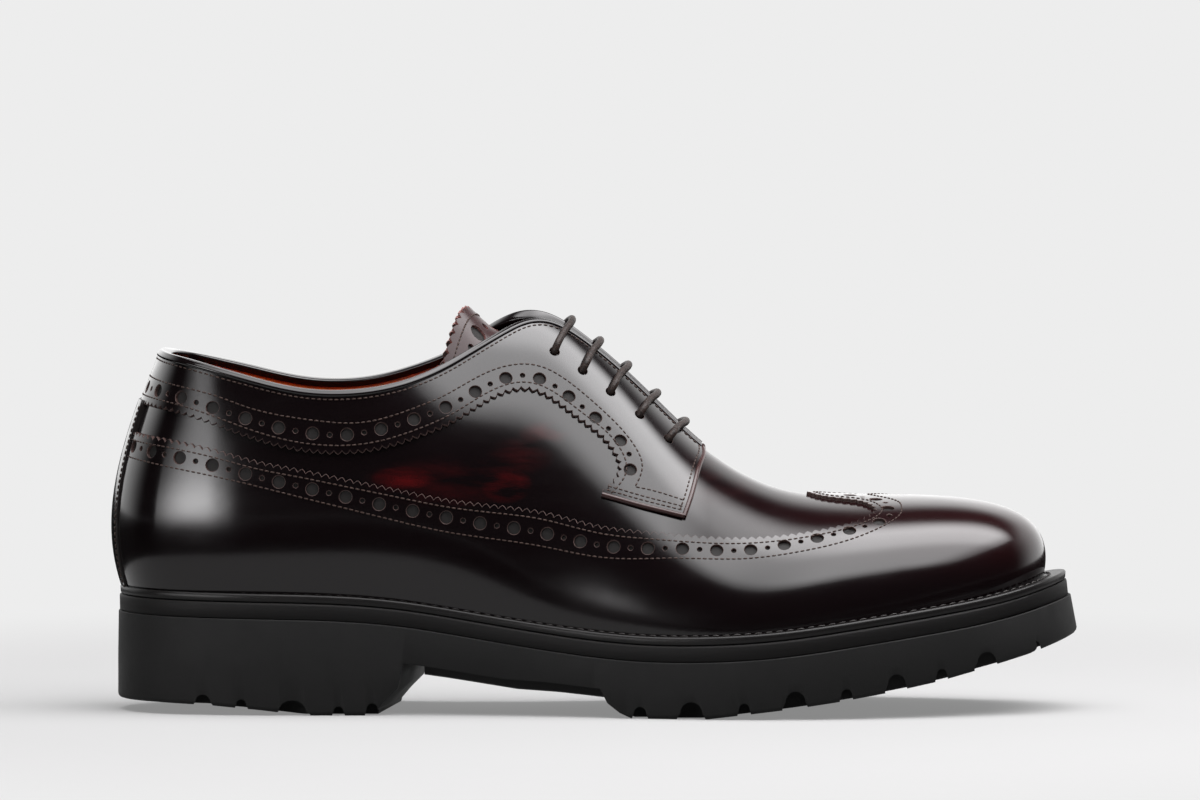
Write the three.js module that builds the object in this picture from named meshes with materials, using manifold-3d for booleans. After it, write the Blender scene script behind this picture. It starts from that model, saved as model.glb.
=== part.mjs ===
// Full brogue derby, right shoe: a longwing derby upper on a lugged rubber sole.
// Millimetres, +Z up, toe towards +X, outer (lateral) side towards -Y.
import * as THREE from 'three';
import { mergeVertices } from 'three/addons/utils/BufferGeometryUtils.js';
import Module from 'manifold-3d';

const wasm = await Module();
wasm.setup();
const { Manifold, Mesh: SolidMesh } = wasm;

// Driving sizes of the shoe
const SOLE_LENGTH = 308; // rubber sole from heel to toe
const BALL_WIDTH = 92; // unit of width: the widest part of the upper's plan is a little over it
const SEAT_HEIGHT = 40; // top of the welt at the heel, above the floor
const CONE_RISE = 88.5; // top of the foot shape above the heel seat
const CONE_HALF = 24; // half width of the ankle opening's foot shape
const HEEL_MARGIN = 4; // sole edge behind the upper
const TOE_MARGIN = 13; // sole edge in front of the upper's lower edge
const TOE_SIDE = 2.5; // how far the toe tip lies towards the inner side
const WALL = 2.2; // leather and lining of the upper
const GAP = 0.3; // clearance between neighbouring pieces
const OVERLAY = 1.0; // thickness of an overlay
const WELT_THICK = 2.9;
const WELT_CLEAR = 1.7; // gap from the upper's lower edge to the welt's inner edge
const MIDSOLE_THICK = 5.2;
const INSOLE_THICK = 3.2;
const TONGUE_THICK = 1.6;
const TONGUE_CLEAR = 1.4; // room between the facings' lining and the tongue
const LUG_ROUND = 2.4; // rounding of the lug edges
const TREAD_DEPTH = 4.5; // channels of the tread
const EDGE_BLOCK = 18; // width of the outer tread blocks
const CHANNEL = 4.5; // width of the tread channels
const SKEW = 0.12; // slant of heel front and ball line across the sole
const EYELET = 3.2; // diameter of a lace hole
const LACE = 2.4; // diameter of the lace
const LACE_LEAN = 3.7; // the bars' middles lie forward of their ends

const SIDES = [-1, 1]; // -1 outer (lateral), 1 inner (medial)

// Plan of the upper's lower edge: along as a share of its length, half widths as shares of BALL_WIDTH
const PLAN = [
  { along: 0.030, outer: 0.225, inner: 0.225 },
  { along: 0.085, outer: 0.305, inner: 0.305 },
  { along: 0.160, outer: 0.330, inner: 0.325 },
  { along: 0.260, outer: 0.332, inner: 0.312 },
  { along: 0.360, outer: 0.345, inner: 0.285 },
  { along: 0.450, outer: 0.385, inner: 0.275 },
  { along: 0.540, outer: 0.450, inner: 0.315 },
  { along: 0.630, outer: 0.510, inner: 0.400 },
  { along: 0.710, outer: 0.530, inner: 0.462 },
  { along: 0.790, outer: 0.500, inner: 0.477 },
  { along: 0.870, outer: 0.425, inner: 0.430 },
  { along: 0.935, outer: 0.320, inner: 0.335 },
  { along: 0.980, outer: 0.190, inner: 0.215 },
];

// Top of the welt: along as a share of SOLE_LENGTH, height as a share of SEAT_HEIGHT
const SEAT = [
  { along: 0, height: 1 },
  { along: 0.052, height: 0.988 },
  { along: 0.162, height: 0.972 },
  { along: 0.292, height: 0.918 },
  { along: 0.373, height: 0.822 },
  { along: 0.455, height: 0.725 },
  { along: 0.536, height: 0.662 },
  { along: 0.617, height: 0.660 },
  { along: 0.692, height: 0.702 },
  { along: 0.773, height: 0.788 },
  { along: 0.854, height: 0.882 },
  { along: 0.938, height: 1.006 },
  { along: 0.987, height: 1.112 },
  { along: 1.013, height: 1.165 },
];

// Bottom of heel and lugs: same shares
const TREAD = [
  { along: 0, height: 0.095 },
  { along: 0.040, height: 0.094 },
  { along: 0.095, height: 0.080 },
  { along: 0.150, height: 0.042 },
  { along: 0.195, height: 0 },
  { along: 0.300, height: 0 },
  { along: 0.400, height: 0 },
  { along: 0.500, height: 0 },
  { along: 0.612, height: 0 },
  { along: 0.659, height: 0.045 },
  { along: 0.701, height: 0.085 },
  { along: 0.750, height: 0.140 },
  { along: 0.799, height: 0.205 },
  { along: 0.854, height: 0.290 },
  { along: 0.893, height: 0.368 },
  { along: 0.948, height: 0.486 },
  { along: 1.000, height: 0.620 },
];

// Underside between heel front and ball: same shares
const WAIST = [
  { along: 0.277, height: -0.20 },
  { along: 0.283, height: 0.03 },
  { along: 0.293, height: 0.12 },
  { along: 0.306, height: 0.22 },
  { along: 0.312, height: 0.42 },
  { along: 0.345, height: 0.385 },
  { along: 0.417, height: 0.300 },
  { along: 0.461, height: 0.280 },
  { along: 0.520, height: 0.235 },
  { along: 0.528, height: 0.120 },
  { along: 0.541, height: 0.045 },
  { along: 0.560, height: -0.020 },
  { along: 0.570, height: -0.200 },
];

// How far the sole and the welt stand out from the upper's lower edge, in shares of BALL_WIDTH
const WELT_EDGE = [
  { along: 0, out: 0.033, welt: 0.033 },
  { along: 0.15, out: 0.043, welt: 0.043 },
  { along: 0.40, out: 0.040, welt: 0.040 },
  { along: 0.62, out: 0.062, welt: 0.060 },
  { along: 0.80, out: 0.070, welt: 0.066 },
  { along: 0.90, out: 0.090, welt: 0.078 },
  { along: 0.958, out: 0.131, welt: 0.100 },
  { along: 1.00, out: 0.150, welt: 0.110 },
];

// Sections of the foot shape. along: 0 heel back to 1 toe tip; top: share of CONE_RISE above the seat;
// shift: ridge towards the inner side and out: side bulge, shares of BALL_WIDTH; up and down: shares of
// the section's height; into: share of its half width
const SECTIONS = [
  { along: 0.00, top: 0.983, shift: 0.000, out: 0.103, up: 0.27, into: 1.125, down: 0.47 },
  { along: 0.07, top: 0.983, shift: 0.000, out: 0.096, up: 0.26, into: 1.10, down: 0.46 },
  { along: 0.14, top: 0.983, shift: 0.000, out: 0.087, up: 0.25, into: 1.15, down: 0.45 },
  { along: 0.25, top: 0.983, shift: 0.005, out: 0.087, up: 0.27, into: 1.15, down: 0.40 },
  { along: 0.36, top: 0.989, shift: 0.022, out: 0.092, up: 0.30, into: 0.98, down: 0.29 },
  { along: 0.42, top: 1.000, shift: 0.035, out: 0.082, up: 0.32, into: 0.74, down: 0.12 },
  { along: 0.455, top: 0.976, shift: 0.043, out: 0.074, up: 0.33, into: 0.58, down: 0.035 },
  { along: 0.49, top: 0.893, shift: 0.046, out: 0.065, up: 0.35, into: 0.50, down: 0 },
  { along: 0.545, top: 0.714, shift: 0.046, out: 0.054, up: 0.38, into: 0.49, down: 0 },
  { along: 0.60, top: 0.515, shift: 0.040, out: 0.043, up: 0.42, into: 0.50, down: 0 },
  { along: 0.645, top: 0.398, shift: 0.033, out: 0.040, up: 0.44, into: 0.52, down: 0 },
  { along: 0.69, top: 0.333, shift: 0.027, out: 0.038, up: 0.46, into: 0.55, down: 0 },
  { along: 0.745, top: 0.311, shift: 0.027, out: 0.035, up: 0.50, into: 0.58, down: 0 },
  { along: 0.80, top: 0.307, shift: TOE_SIDE / BALL_WIDTH, out: 0.035, up: 0.53, into: 0.62, down: 0 },
  { along: 0.90, top: 0.307, shift: 0.027, out: 0.054, up: 0.64, into: 0.70, down: 0 },
  { along: 1.00, top: 0.307, shift: 0.027, out: 0.076, up: 0.78, into: 0.80, down: 0 },
];

// Lines on the foot shape: along as above, up 0 lower edge to 1 ridge
const TOPLINE = [
  { along: 0.00, outer: 0.893, inner: 0.893 },
  { along: 0.05, outer: 0.890, inner: 0.891 },
  { along: 0.104, outer: 0.876, inner: 0.873 },
  { along: 0.164, outer: 0.828, inner: 0.832 },
  { along: 0.221, outer: 0.780, inner: 0.785 },
  { along: 0.278, outer: 0.771, inner: 0.778 },
  { along: 0.333, outer: 0.797, inner: 0.812 },
  { along: 0.381, outer: 0.835, inner: 0.856 },
  { along: 0.411, outer: 0.862, inner: 0.905 },
  { along: 0.435, outer: 0.889, inner: 0.937 },
  { along: 0.470, outer: 0.905, inner: 0.940 },
  { along: 0.545, outer: 0.907, inner: 0.925 },
  { along: 0.606, outer: 0.916, inner: 0.925 },
  { along: 0.800, outer: 0.916, inner: 0.925 },
  { along: 1.000, outer: 0.916, inner: 0.925 },
];
const BAND_LOW = [
  { along: 0.000, up: 0.752 },
  { along: 0.060, up: 0.744 },
  { along: 0.108, up: 0.721 },
  { along: 0.159, up: 0.660 },
  { along: 0.209, up: 0.602 },
  { along: 0.258, up: 0.578 },
  { along: 0.296, up: 0.588 },
  { along: 0.333, up: 0.614 },
  { along: 0.371, up: 0.640 },
  { along: 0.401, up: 0.658 },
  { along: 0.431, up: 0.652 },
  { along: 0.462, up: 0.612 },
  { along: 0.491, up: 0.580 },
  { along: 0.516, up: 0.560 },
];
const TAB_BACK = [
  { along: 0.509, up: 0.405 },
  { along: 0.521, up: 0.460 },
  { along: 0.526, up: 0.515 },
  { along: 0.516, up: 0.560 },
];
const TAB_FRONT = [
  { along: 0.589, up: 0.461 },
  { along: 0.593, up: 0.520 },
  { along: 0.597, up: 0.585 },
  { along: 0.601, up: 0.670 },
];
const THROAT = 0.606; // along, where the facings end and the vamp closes
const WING_LOW = [
  { along: 0.000, up: 0.648 },
  { along: 0.045, up: 0.642 },
  { along: 0.091, up: 0.631 },
  { along: 0.136, up: 0.601 },
  { along: 0.172, up: 0.562 },
  { along: 0.258, up: 0.482 },
  { along: 0.308, up: 0.439 },
  { along: 0.358, up: 0.390 },
  { along: 0.398, up: 0.352 },
  { along: 0.455, up: 0.318 },
  { along: 0.507, up: 0.316 },
  { along: 0.560, up: 0.356 },
  { along: 0.605, up: 0.410 },
  { along: 0.642, up: 0.462 },
  { along: 0.679, up: 0.507 },
  { along: 0.712, up: 0.540 },
  { along: 0.741, up: 0.574 },
  { along: 0.764, up: 0.630 },
  { along: 0.776, up: 0.690 },
];
const WING_HIGH = [
  { along: 0.706, up: 1.000 },
  { along: 0.715, up: 0.940 },
  { along: 0.730, up: 0.893 },
  { along: 0.745, up: 0.870 },
  { along: 0.759, up: 0.845 },
  { along: 0.772, up: 0.780 },
  { along: 0.776, up: 0.735 },
];
const BACKSTAY_HALF = 0.024; // along, half width of the strip down the back

// Lace holes: along, and up on each side
const EYELETS = [
  { along: 0.462, outer: 0.765, inner: 0.752 },
  { along: 0.489, outer: 0.742, inner: 0.722 },
  { along: 0.516, outer: 0.734, inner: 0.712 },
  { along: 0.544, outer: 0.736, inner: 0.708 },
  { along: 0.572, outer: 0.739, inner: 0.705 },
];

// The tongue's centre line near its free end: height as a share of CONE_RISE above the seat
const TONGUE_RIDGE = [
  { along: 0.335, top: 1.085 },
  { along: 0.382, top: 0.998 },
  { along: 0.398, top: 0.942 },
  { along: 0.412, top: 0.911 },
  { along: 0.440, top: 0.900 },
  { along: 0.475, top: 0.880 },
  { along: 0.510, top: 0.820 },
];
const TONGUE_TIP = 0.382; // along
const TONGUE_ROOT = 0.645;
const TONGUE_HALF = 0.30; // up, from the ridge to the tongue's side edge

// Notches in the tread's edge: along the sole, width and height in millimetres
const NOTCHES = [
  { along: 0.090, width: 6, high: 3.4 },
  { along: 0.130, width: 4, high: 3 },
  { along: 0.183, width: 11, high: 4.5 },
  { along: 0.231, width: 4, high: 3 },
  { along: 0.266, width: 4.5, high: 4 },
  { along: 0.544, width: 5, high: 3.8 },
  { along: 0.597, width: 9, high: 5.6 },
  { along: 0.652, width: 4.2, high: 3.8 },
  { along: 0.705, width: 8, high: 5.6 },
  { along: 0.758, width: 4.2, high: 3.8 },
  { along: 0.810, width: 7, high: 5.4 },
  { along: 0.857, width: 4, high: 3.8 },
  { along: 0.904, width: 7.5, high: 5 },
  { along: 0.954, width: 4.5, high: 3.6 },
];

// A smooth curve through a table's values
function spline(knots, values) {
  const n = knots.length;
  const step = knots.slice(1).map((k, i) => k - knots[i]);
  const low = new Array(n).fill(0);
  const main = new Array(n).fill(1);
  const high = new Array(n).fill(0);
  const right = new Array(n).fill(0);
  for (let i = 1; i < n - 1; i += 1) {
    low[i] = step[i - 1];
    main[i] = 2 * (step[i - 1] + step[i]);
    high[i] = step[i];
    right[i] = 6 * ((values[i + 1] - values[i]) / step[i] - (values[i] - values[i - 1]) / step[i - 1]);
  }
  for (let i = 1; i < n; i += 1) {
    const ratio = low[i] / main[i - 1];
    main[i] -= ratio * high[i - 1];
    right[i] -= ratio * right[i - 1];
  }
  const bend = new Array(n).fill(0);
  for (let i = n - 1; i >= 0; i -= 1) {
    bend[i] = (right[i] - high[i] * (bend[i + 1] ?? 0)) / main[i];
  }
  return (t) => {
    let i = 0;
    while (i < n - 2 && t > knots[i + 1]) i += 1;
    const d = step[i];
    const a = (knots[i + 1] - t) / d;
    const b = (t - knots[i]) / d;
    const curve = ((a ** 3 - a) * bend[i] + (b ** 3 - b) * bend[i + 1]) * d * d / 6;
    return a * values[i] + b * values[i + 1] + curve;
  };
}

// A straight-line curve through a table's values, level beyond its ends
function steps(knots, values) {
  return (t) => {
    if (t <= knots[0]) return values[0];
    let i = 0;
    while (i < knots.length - 2 && t > knots[i + 1]) i += 1;
    const share = Math.min(1, (t - knots[i]) / (knots[i + 1] - knots[i]));
    return values[i] + (values[i + 1] - values[i]) * share;
  };
}

const column = (table, name, size = 1) => table.map((row) => row[name] * size);
const curveOf = (table, name, size = 1) => spline(column(table, 'along'), column(table, name, size));
const along = (share) => share * SOLE_LENGTH;

const FEATHER_LENGTH = SOLE_LENGTH - HEEL_MARGIN - TOE_MARGIN;
const HEEL_TURN = 0.14; // along, end of the heel's fan of sections
const TOE_TURN = 0.80; // along, start of the toe's fan of sections
const HEEL_POLE_X = HEEL_MARGIN + FEATHER_LENGTH * 0.1031;
const TOE_POLE_X = HEEL_MARGIN + FEATHER_LENGTH * 0.8488;

const seatCurve = spline(column(SEAT, 'along', SOLE_LENGTH), column(SEAT, 'height', SEAT_HEIGHT));
const treadCurve = steps(column(TREAD, 'along', SOLE_LENGTH), column(TREAD, 'height', SEAT_HEIGHT));
const soleEdge = spline(column(WELT_EDGE, 'along', SOLE_LENGTH), column(WELT_EDGE, 'out', BALL_WIDTH));
const weltEdge = spline(column(WELT_EDGE, 'along', SOLE_LENGTH), column(WELT_EDGE, 'welt', BALL_WIDTH));

// The plan's closed curve, back to outer side to toe to inner side
function planLoop() {
  const points = [
    [0, 0],
    ...PLAN.map((row) => [row.along, -row.outer]),
    [1, TOE_SIDE / BALL_WIDTH],
    ...[...PLAN].reverse().map((row) => [row.along, row.inner]),
  ].map(([x, y]) => [HEEL_MARGIN + x * FEATHER_LENGTH, y * BALL_WIDTH]);
  const count = points.length;
  const wrap = 5;
  const list = [...points.slice(-wrap), ...points, ...points.slice(0, wrap + 1)];
  const knots = [0];
  for (let i = 1; i < list.length; i += 1) {
    knots.push(knots[i - 1] + Math.hypot(list[i][0] - list[i - 1][0], list[i][1] - list[i - 1][1]));
  }
  const start = knots[wrap];
  const whole = knots[wrap + count] - start;
  const shares = knots.map((k) => (k - start) / whole);
  return {
    x: spline(shares, list.map((p) => p[0])),
    y: spline(shares, list.map((p) => p[1])),
    tip: shares[wrap + PLAN.length + 1],
  };
}
const plan = planLoop();

function solve(test, low, high) {
  let a = low;
  let b = high;
  for (let i = 0; i < 40; i += 1) {
    const middle = (a + b) / 2;
    if (test(middle)) a = middle;
    else b = middle;
  }
  return (a + b) / 2;
}

// Point of the upper's lower edge on one side, at a share t of the way from heel back to toe tip
function featherPoint(side, t) {
  const from = side < 0 ? 0 : 1;
  const at = (q) => from + (plan.tip - from) * q;
  let q = 0;
  if (t < HEEL_TURN) {
    const angle = t / HEEL_TURN * Math.PI / 2;
    q = solve((u) => Math.atan2(side * plan.y(at(u)), HEEL_POLE_X - plan.x(at(u))) < angle, 0, 0.4);
  } else if (t > TOE_TURN) {
    const angle = (1 - t) / (1 - TOE_TURN) * Math.PI / 2;
    q = solve((u) => Math.atan2(side * (plan.y(at(u)) - TOE_SIDE), plan.x(at(u)) - TOE_POLE_X) > angle, 0.6, 1);
  } else {
    q = solve((u) => plan.x(at(u)) < alongX(t), 0.02, 0.98);
  }
  return [plan.x(at(q)), plan.y(at(q))];
}

// On the heel's and toe's middle both sides share one point
function seamPoint(t) {
  const [a, b] = SIDES.map((side) => featherPoint(side, t));
  return [(a[0] + b[0]) / 2, (a[1] + b[1]) / 2];
}

function alongX(t) {
  return HEEL_POLE_X + (TOE_POLE_X - HEEL_POLE_X) * (t - HEEL_TURN) / (TOE_TURN - HEEL_TURN);
}

const section = {
  top: curveOf(SECTIONS, 'top', CONE_RISE),
  shift: curveOf(SECTIONS, 'shift', BALL_WIDTH),
  out: curveOf(SECTIONS, 'out', BALL_WIDTH),
  up: curveOf(SECTIONS, 'up'),
  into: curveOf(SECTIONS, 'into'),
  down: curveOf(SECTIONS, 'down'),
};

function ease(share) {
  const u = Math.min(1, Math.max(0, share));
  return u * u * u * (u * (6 * u - 15) + 10);
}

// Half width of the foot shape's top at a share t
const CONE_END_X = HEEL_MARGIN + FEATHER_LENGTH * 0.495;
const CONE_START_X = HEEL_MARGIN + FEATHER_LENGTH * 0.192;
function coneHalf(t) {
  if (t < HEEL_TURN) return CONE_HALF * (0.583 + 0.417 * ease(t / HEEL_TURN));
  return CONE_HALF * (1 - ease((alongX(t) - CONE_START_X) / (CONE_END_X - CONE_START_X)));
}

// The four control points of one half section
const controlCache = new Map();
function controls(side, t) {
  const key = `${side}:${t.toFixed(6)}`;
  if (controlCache.has(key)) return controlCache.get(key);
  const [fx, fy] = t <= 0 || t >= 1 ? seamPoint(t) : featherPoint(side, t);
  const angle = Math.min(t / HEEL_TURN, 1) * Math.PI / 2;
  const capped = Math.min(t, TOE_TURN);
  const half = coneHalf(t);
  let rx = alongX(t);
  let ry = section.shift(capped) + side * half;
  if (t < HEEL_TURN) {
    rx = HEEL_POLE_X - half * Math.cos(angle);
    ry = side * half * Math.sin(angle);
  }
  if (t >= TOE_TURN) {
    rx = TOE_POLE_X;
    ry = TOE_SIDE;
  }
  const foot = seatCurve(fx) - WELT_THICK + GAP;
  const ridge = SEAT_HEIGHT + section.top(capped);
  const height = ridge - foot;
  const width = Math.hypot(rx - fx, ry - fy);
  const dx = (rx - fx) / width;
  const dy = (ry - fy) / width;
  const out = section.out(t);
  const into = section.into(t) * width;
  const points = [
    [fx, fy, foot],
    [fx - dx * out, fy - dy * out, foot + height * section.up(t)],
    [rx - dx * into, ry - dy * into, ridge - height * section.down(t)],
    [rx, ry, ridge],
  ];
  controlCache.set(key, points);
  return points;
}

function skinRaw(side, t, v) {
  const [a, b, c, d] = controls(side, t);
  const w = 1 - v;
  const mix = (i) => w * w * w * a[i] + 3 * w * w * v * b[i] + 3 * w * v * v * c[i] + v * v * v * d[i];
  return new THREE.Vector3(mix(0), mix(1), mix(2));
}

// Outward direction of the foot shape; on a seam between the sides it is the mean of both
function normalOneSide(side, t, v) {
  const e = 0.004;
  const ta = Math.max(0, t - e);
  const tb = Math.min(1, t + e);
  const vc = Math.min(v, 0.995);
  const va = Math.max(0, vc - e);
  const vb = Math.min(1, vc + e);
  const acrossT = skinRaw(side, tb, vc).sub(skinRaw(side, ta, vc));
  const acrossV = skinRaw(side, t, vb).sub(skinRaw(side, t, va));
  return acrossT.cross(acrossV).multiplyScalar(-side).normalize();
}
function skinNormal(side, t, v) {
  const normal = normalOneSide(side, t, v);
  const onSeam = t <= 0 || t >= 1 || (v >= 1 && coneHalf(t) < 0.01);
  if (onSeam) normal.add(normalOneSide(-side, t, v));
  if (v >= 1 && t >= TOE_TURN) normal.set(0, 0, 1);
  return normal.normalize();
}
const skin = (side, t, v, off = 0) => skinRaw(side, t, v).addScaledVector(skinNormal(side, t, v), off);

// Joins lists of vertices and triangles into one mesh
function meshOf(name, vertices, triangles, look) {
  const geometry = new THREE.BufferGeometry();
  geometry.setAttribute('position', new THREE.Float32BufferAttribute(vertices.flat(), 3));
  geometry.setIndex(triangles.flat());
  geometry.computeVertexNormals();
  const mesh = new THREE.Mesh(geometry, new THREE.MeshStandardMaterial(look));
  mesh.name = name;
  return mesh;
}

// A sheet of even thickness over patches of the foot shape. Each cell is four corners {side, t, v};
// place gives the point and direction at a corner; inner and outer are distances from the foot shape
function sheet(cells, inner, outer, place) {
  const outerPoints = [];
  const innerPoints = [];
  const directions = [];
  const index = new Map();
  const corner = ({ side, t, v }) => {
    const { point, normal } = place(side, t, v);
    const key = point.toArray().map((value) => Math.round(value * 200)).join();
    if (!index.has(key)) {
      index.set(key, outerPoints.length);
      outerPoints.push(point.clone().addScaledVector(normal, outer).toArray());
      innerPoints.push(point.clone().addScaledVector(normal, inner).toArray());
      directions.push(normal);
    }
    return index.get(key);
  };
  const faces = [];
  const addFace = (a, b, c) => {
    if (a === b || b === c || a === c) return;
    const pa = new THREE.Vector3(...outerPoints[a]);
    const pb = new THREE.Vector3(...outerPoints[b]);
    const pc = new THREE.Vector3(...outerPoints[c]);
    const facing = pb.sub(pa).cross(pc.sub(pa));
    const outward = directions[a].clone().add(directions[b]).add(directions[c]);
    faces.push(facing.dot(outward) > 0 ? [a, b, c] : [a, c, b]);
  };
  for (const [p, q, r, s] of cells) {
    const a = corner(p);
    const b = corner(q);
    const c = corner(r);
    const d = corner(s);
    addFace(a, b, c);
    addFace(a, c, d);
  }
  const count = outerPoints.length;
  const edges = new Set();
  for (const [a, b, c] of faces) {
    edges.add(`${a},${b}`);
    edges.add(`${b},${c}`);
    edges.add(`${c},${a}`);
  }
  const triangles = faces.flatMap(([a, b, c]) => [[a, b, c], [a + count, c + count, b + count]]);
  for (const edge of edges) {
    const [a, b] = edge.split(',').map(Number);
    if (!edges.has(`${b},${a}`)) {
      triangles.push([b, a, a + count]);
      triangles.push([b, a + count, b + count]);
    }
  }
  return { vertices: [...outerPoints, ...innerPoints], triangles };
}

const onSkin = (side, t, v) => ({ point: skinRaw(side, t, v), normal: skinNormal(side, t, v) });

// Cells between rows and columns of corners; keep says which cells are there
function lattice(rows, columns, at, keep = () => true) {
  const cells = [];
  for (let i = 0; i < columns; i += 1) {
    for (let j = 0; j < rows; j += 1) {
      if (keep(i, j)) cells.push([at(i, j), at(i + 1, j), at(i + 1, j + 1), at(i, j + 1)]);
    }
  }
  return cells;
}

function solidOf({ vertices, triangles }) {
  return new Manifold(new SolidMesh({
    numProp: 3,
    vertProperties: new Float32Array(vertices.flat()),
    triVerts: new Uint32Array(triangles.flat()),
  }));
}

function meshFromSolid(name, solid, look) {
  const { vertProperties, triVerts } = solid.getMesh();
  const geometry = new THREE.BufferGeometry();
  geometry.setAttribute('position', new THREE.Float32BufferAttribute(Array.from(vertProperties), 3));
  geometry.setIndex(Array.from(triVerts));
  const merged = mergeVertices(geometry, 1e-4);
  merged.computeVertexNormals();
  const mesh = new THREE.Mesh(merged, new THREE.MeshStandardMaterial(look));
  mesh.name = name;
  return mesh;
}

// A closed tube of the given radius through points
function rod(points, radius, sides) {
  const vertices = [];
  const triangles = [];
  const reference = new THREE.Vector3(1, 0, 0.2);
  points.forEach((point, i) => {
    const before = points[Math.max(0, i - 1)];
    const after = points[Math.min(points.length - 1, i + 1)];
    const way = after.clone().sub(before).normalize();
    const across = reference.clone().cross(way).normalize();
    const third = way.clone().cross(across);
    for (let k = 0; k < sides; k += 1) {
      const angle = 2 * Math.PI * k / sides;
      const spot = point.clone().addScaledVector(across, radius * Math.cos(angle));
      vertices.push(spot.addScaledVector(third, radius * Math.sin(angle)).toArray());
    }
  });
  const last = points.length - 1;
  for (let i = 0; i < last; i += 1) {
    for (let k = 0; k < sides; k += 1) {
      const a = i * sides + k;
      const b = i * sides + (k + 1) % sides;
      triangles.push([a, b, b + sides], [a, b + sides, a + sides]);
    }
  }
  for (let k = 1; k < sides - 1; k += 1) {
    triangles.push([0, k + 1, k]);
    triangles.push([last * sides, last * sides + k, last * sides + k + 1]);
  }
  return { vertices, triangles };
}

// The sole's outline, moved out from the upper's lower edge by grow(x) millimetres
function outline(grow) {
  const count = 400;
  const list = [];
  for (let i = 0; i <= count; i += 1) {
    const q = i / count;
    const x = plan.x(q);
    const y = plan.y(q);
    const dx = plan.x(q + 0.0005) - plan.x(q - 0.0005);
    const dy = plan.y(q + 0.0005) - plan.y(q - 0.0005);
    const size = Math.hypot(dx, dy);
    const reach = grow(x);
    list.push([x + dy / size * reach, y - dx / size * reach]);
  }
  const nearest = list.reduce((best, p, i) => (p[0] > list[best][0] ? i : best), 0);
  const rising = (points) => {
    const kept = [points[0]];
    for (const p of points) if (p[0] > kept[kept.length - 1][0] + 1e-4) kept.push(p);
    return kept;
  };
  const outer = rising(list.slice(0, nearest + 1));
  const inner = rising(list.slice(nearest).reverse());
  const read = (points) => {
    const curve = steps(points.map((p) => p[0]), points.map((p) => p[1]));
    return curve;
  };
  return { from: list[0][0], to: list[nearest][0], half: { '-1': read(outer), 1: read(inner) } };
}

// A closed body stacked from outlines; each level is {grow, z}; from and to cut it short along x
function stack(levels, stations, from = -Infinity, to = Infinity) {
  const vertices = [];
  const triangles = [];
  for (const { grow, z } of levels) {
    const edge = outline(grow);
    const start = Math.max(edge.from, from);
    const end = Math.min(edge.to, to);
    for (let i = 0; i <= stations; i += 1) {
      const x = start + (end - start) * (1 - Math.cos(Math.PI * i / stations)) / 2;
      for (const side of SIDES) vertices.push([x, edge.half[side](x), z(x)]);
    }
  }
  const perLevel = (stations + 1) * 2;
  const at = (level, i, s) => level * perLevel + i * 2 + s;
  for (let l = 0; l < levels.length - 1; l += 1) {
    for (let i = 0; i < stations; i += 1) {
      triangles.push([at(l, i, 0), at(l, i + 1, 0), at(l + 1, i + 1, 0)]);
      triangles.push([at(l, i, 0), at(l + 1, i + 1, 0), at(l + 1, i, 0)]);
      triangles.push([at(l, i, 1), at(l + 1, i + 1, 1), at(l, i + 1, 1)]);
      triangles.push([at(l, i, 1), at(l + 1, i, 1), at(l + 1, i + 1, 1)]);
    }
    triangles.push([at(l, 0, 0), at(l + 1, 0, 0), at(l + 1, 0, 1)], [at(l, 0, 0), at(l + 1, 0, 1), at(l, 0, 1)]);
    const n = stations;
    triangles.push([at(l, n, 0), at(l + 1, n, 1), at(l + 1, n, 0)], [at(l, n, 0), at(l, n, 1), at(l + 1, n, 1)]);
  }
  const top = levels.length - 1;
  for (let i = 0; i < stations; i += 1) {
    triangles.push([at(0, i, 0), at(0, i + 1, 1), at(0, i + 1, 0)], [at(0, i, 0), at(0, i, 1), at(0, i + 1, 1)]);
    triangles.push([at(top, i, 0), at(top, i + 1, 0), at(top, i + 1, 1)]);
    triangles.push([at(top, i, 0), at(top, i + 1, 1), at(top, i, 1)]);
  }
  return solidOf(welded({ vertices, triangles }));
}

// Makes corners that lie on the same spot one, and drops triangles without area
function welded({ vertices, triangles }) {
  const index = new Map();
  const list = [];
  const number = vertices.map((p) => {
    const key = p.map((value) => Math.round(value * 1000)).join();
    if (!index.has(key)) {
      index.set(key, list.length);
      list.push(p);
    }
    return index.get(key);
  });
  const kept = triangles.map((t) => t.map((i) => number[i]));
  return { vertices: list, triangles: kept.filter(([a, b, c]) => a !== b && b !== c && a !== c) };
}

// A prism across the shoe: profile points {x, z} counter-clockwise seen from the outer side
function crossPrism(profile, y0, y1, skew = 0) {
  const shape = new THREE.Shape(profile.map(([x, z]) => new THREE.Vector2(x, z)));
  const geometry = new THREE.ExtrudeGeometry(shape, { depth: y1 - y0, bevelEnabled: false });
  geometry.deleteAttribute('normal');
  geometry.deleteAttribute('uv');
  const merged = mergeVertices(geometry, 1e-4);
  const position = merged.getAttribute('position');
  const vertices = [];
  for (let i = 0; i < position.count; i += 1) {
    const y = y0 + position.getZ(i);
    vertices.push([position.getX(i) + skew * y, y, position.getY(i)]);
  }
  const triangles = [];
  const faces = merged.getIndex().array;
  for (let i = 0; i < faces.length; i += 3) triangles.push([faces[i], faces[i + 2], faces[i + 1]]);
  return solidOf({ vertices, triangles });
}

const LOOK = {
  leather: { color: 0x2a1216, roughness: 0.22, metalness: 0 },
  edge: { color: 0x141214, roughness: 0.4, metalness: 0 },
  rubber: { color: 0x202022, roughness: 0.75, metalness: 0 },
  lining: { color: 0xb0683a, roughness: 0.7, metalness: 0 },
  lace: { color: 0x3a2a26, roughness: 0.8, metalness: 0 },
};

const shoe = new THREE.Group();
shoe.name = 'full_brogue_derby';

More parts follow.
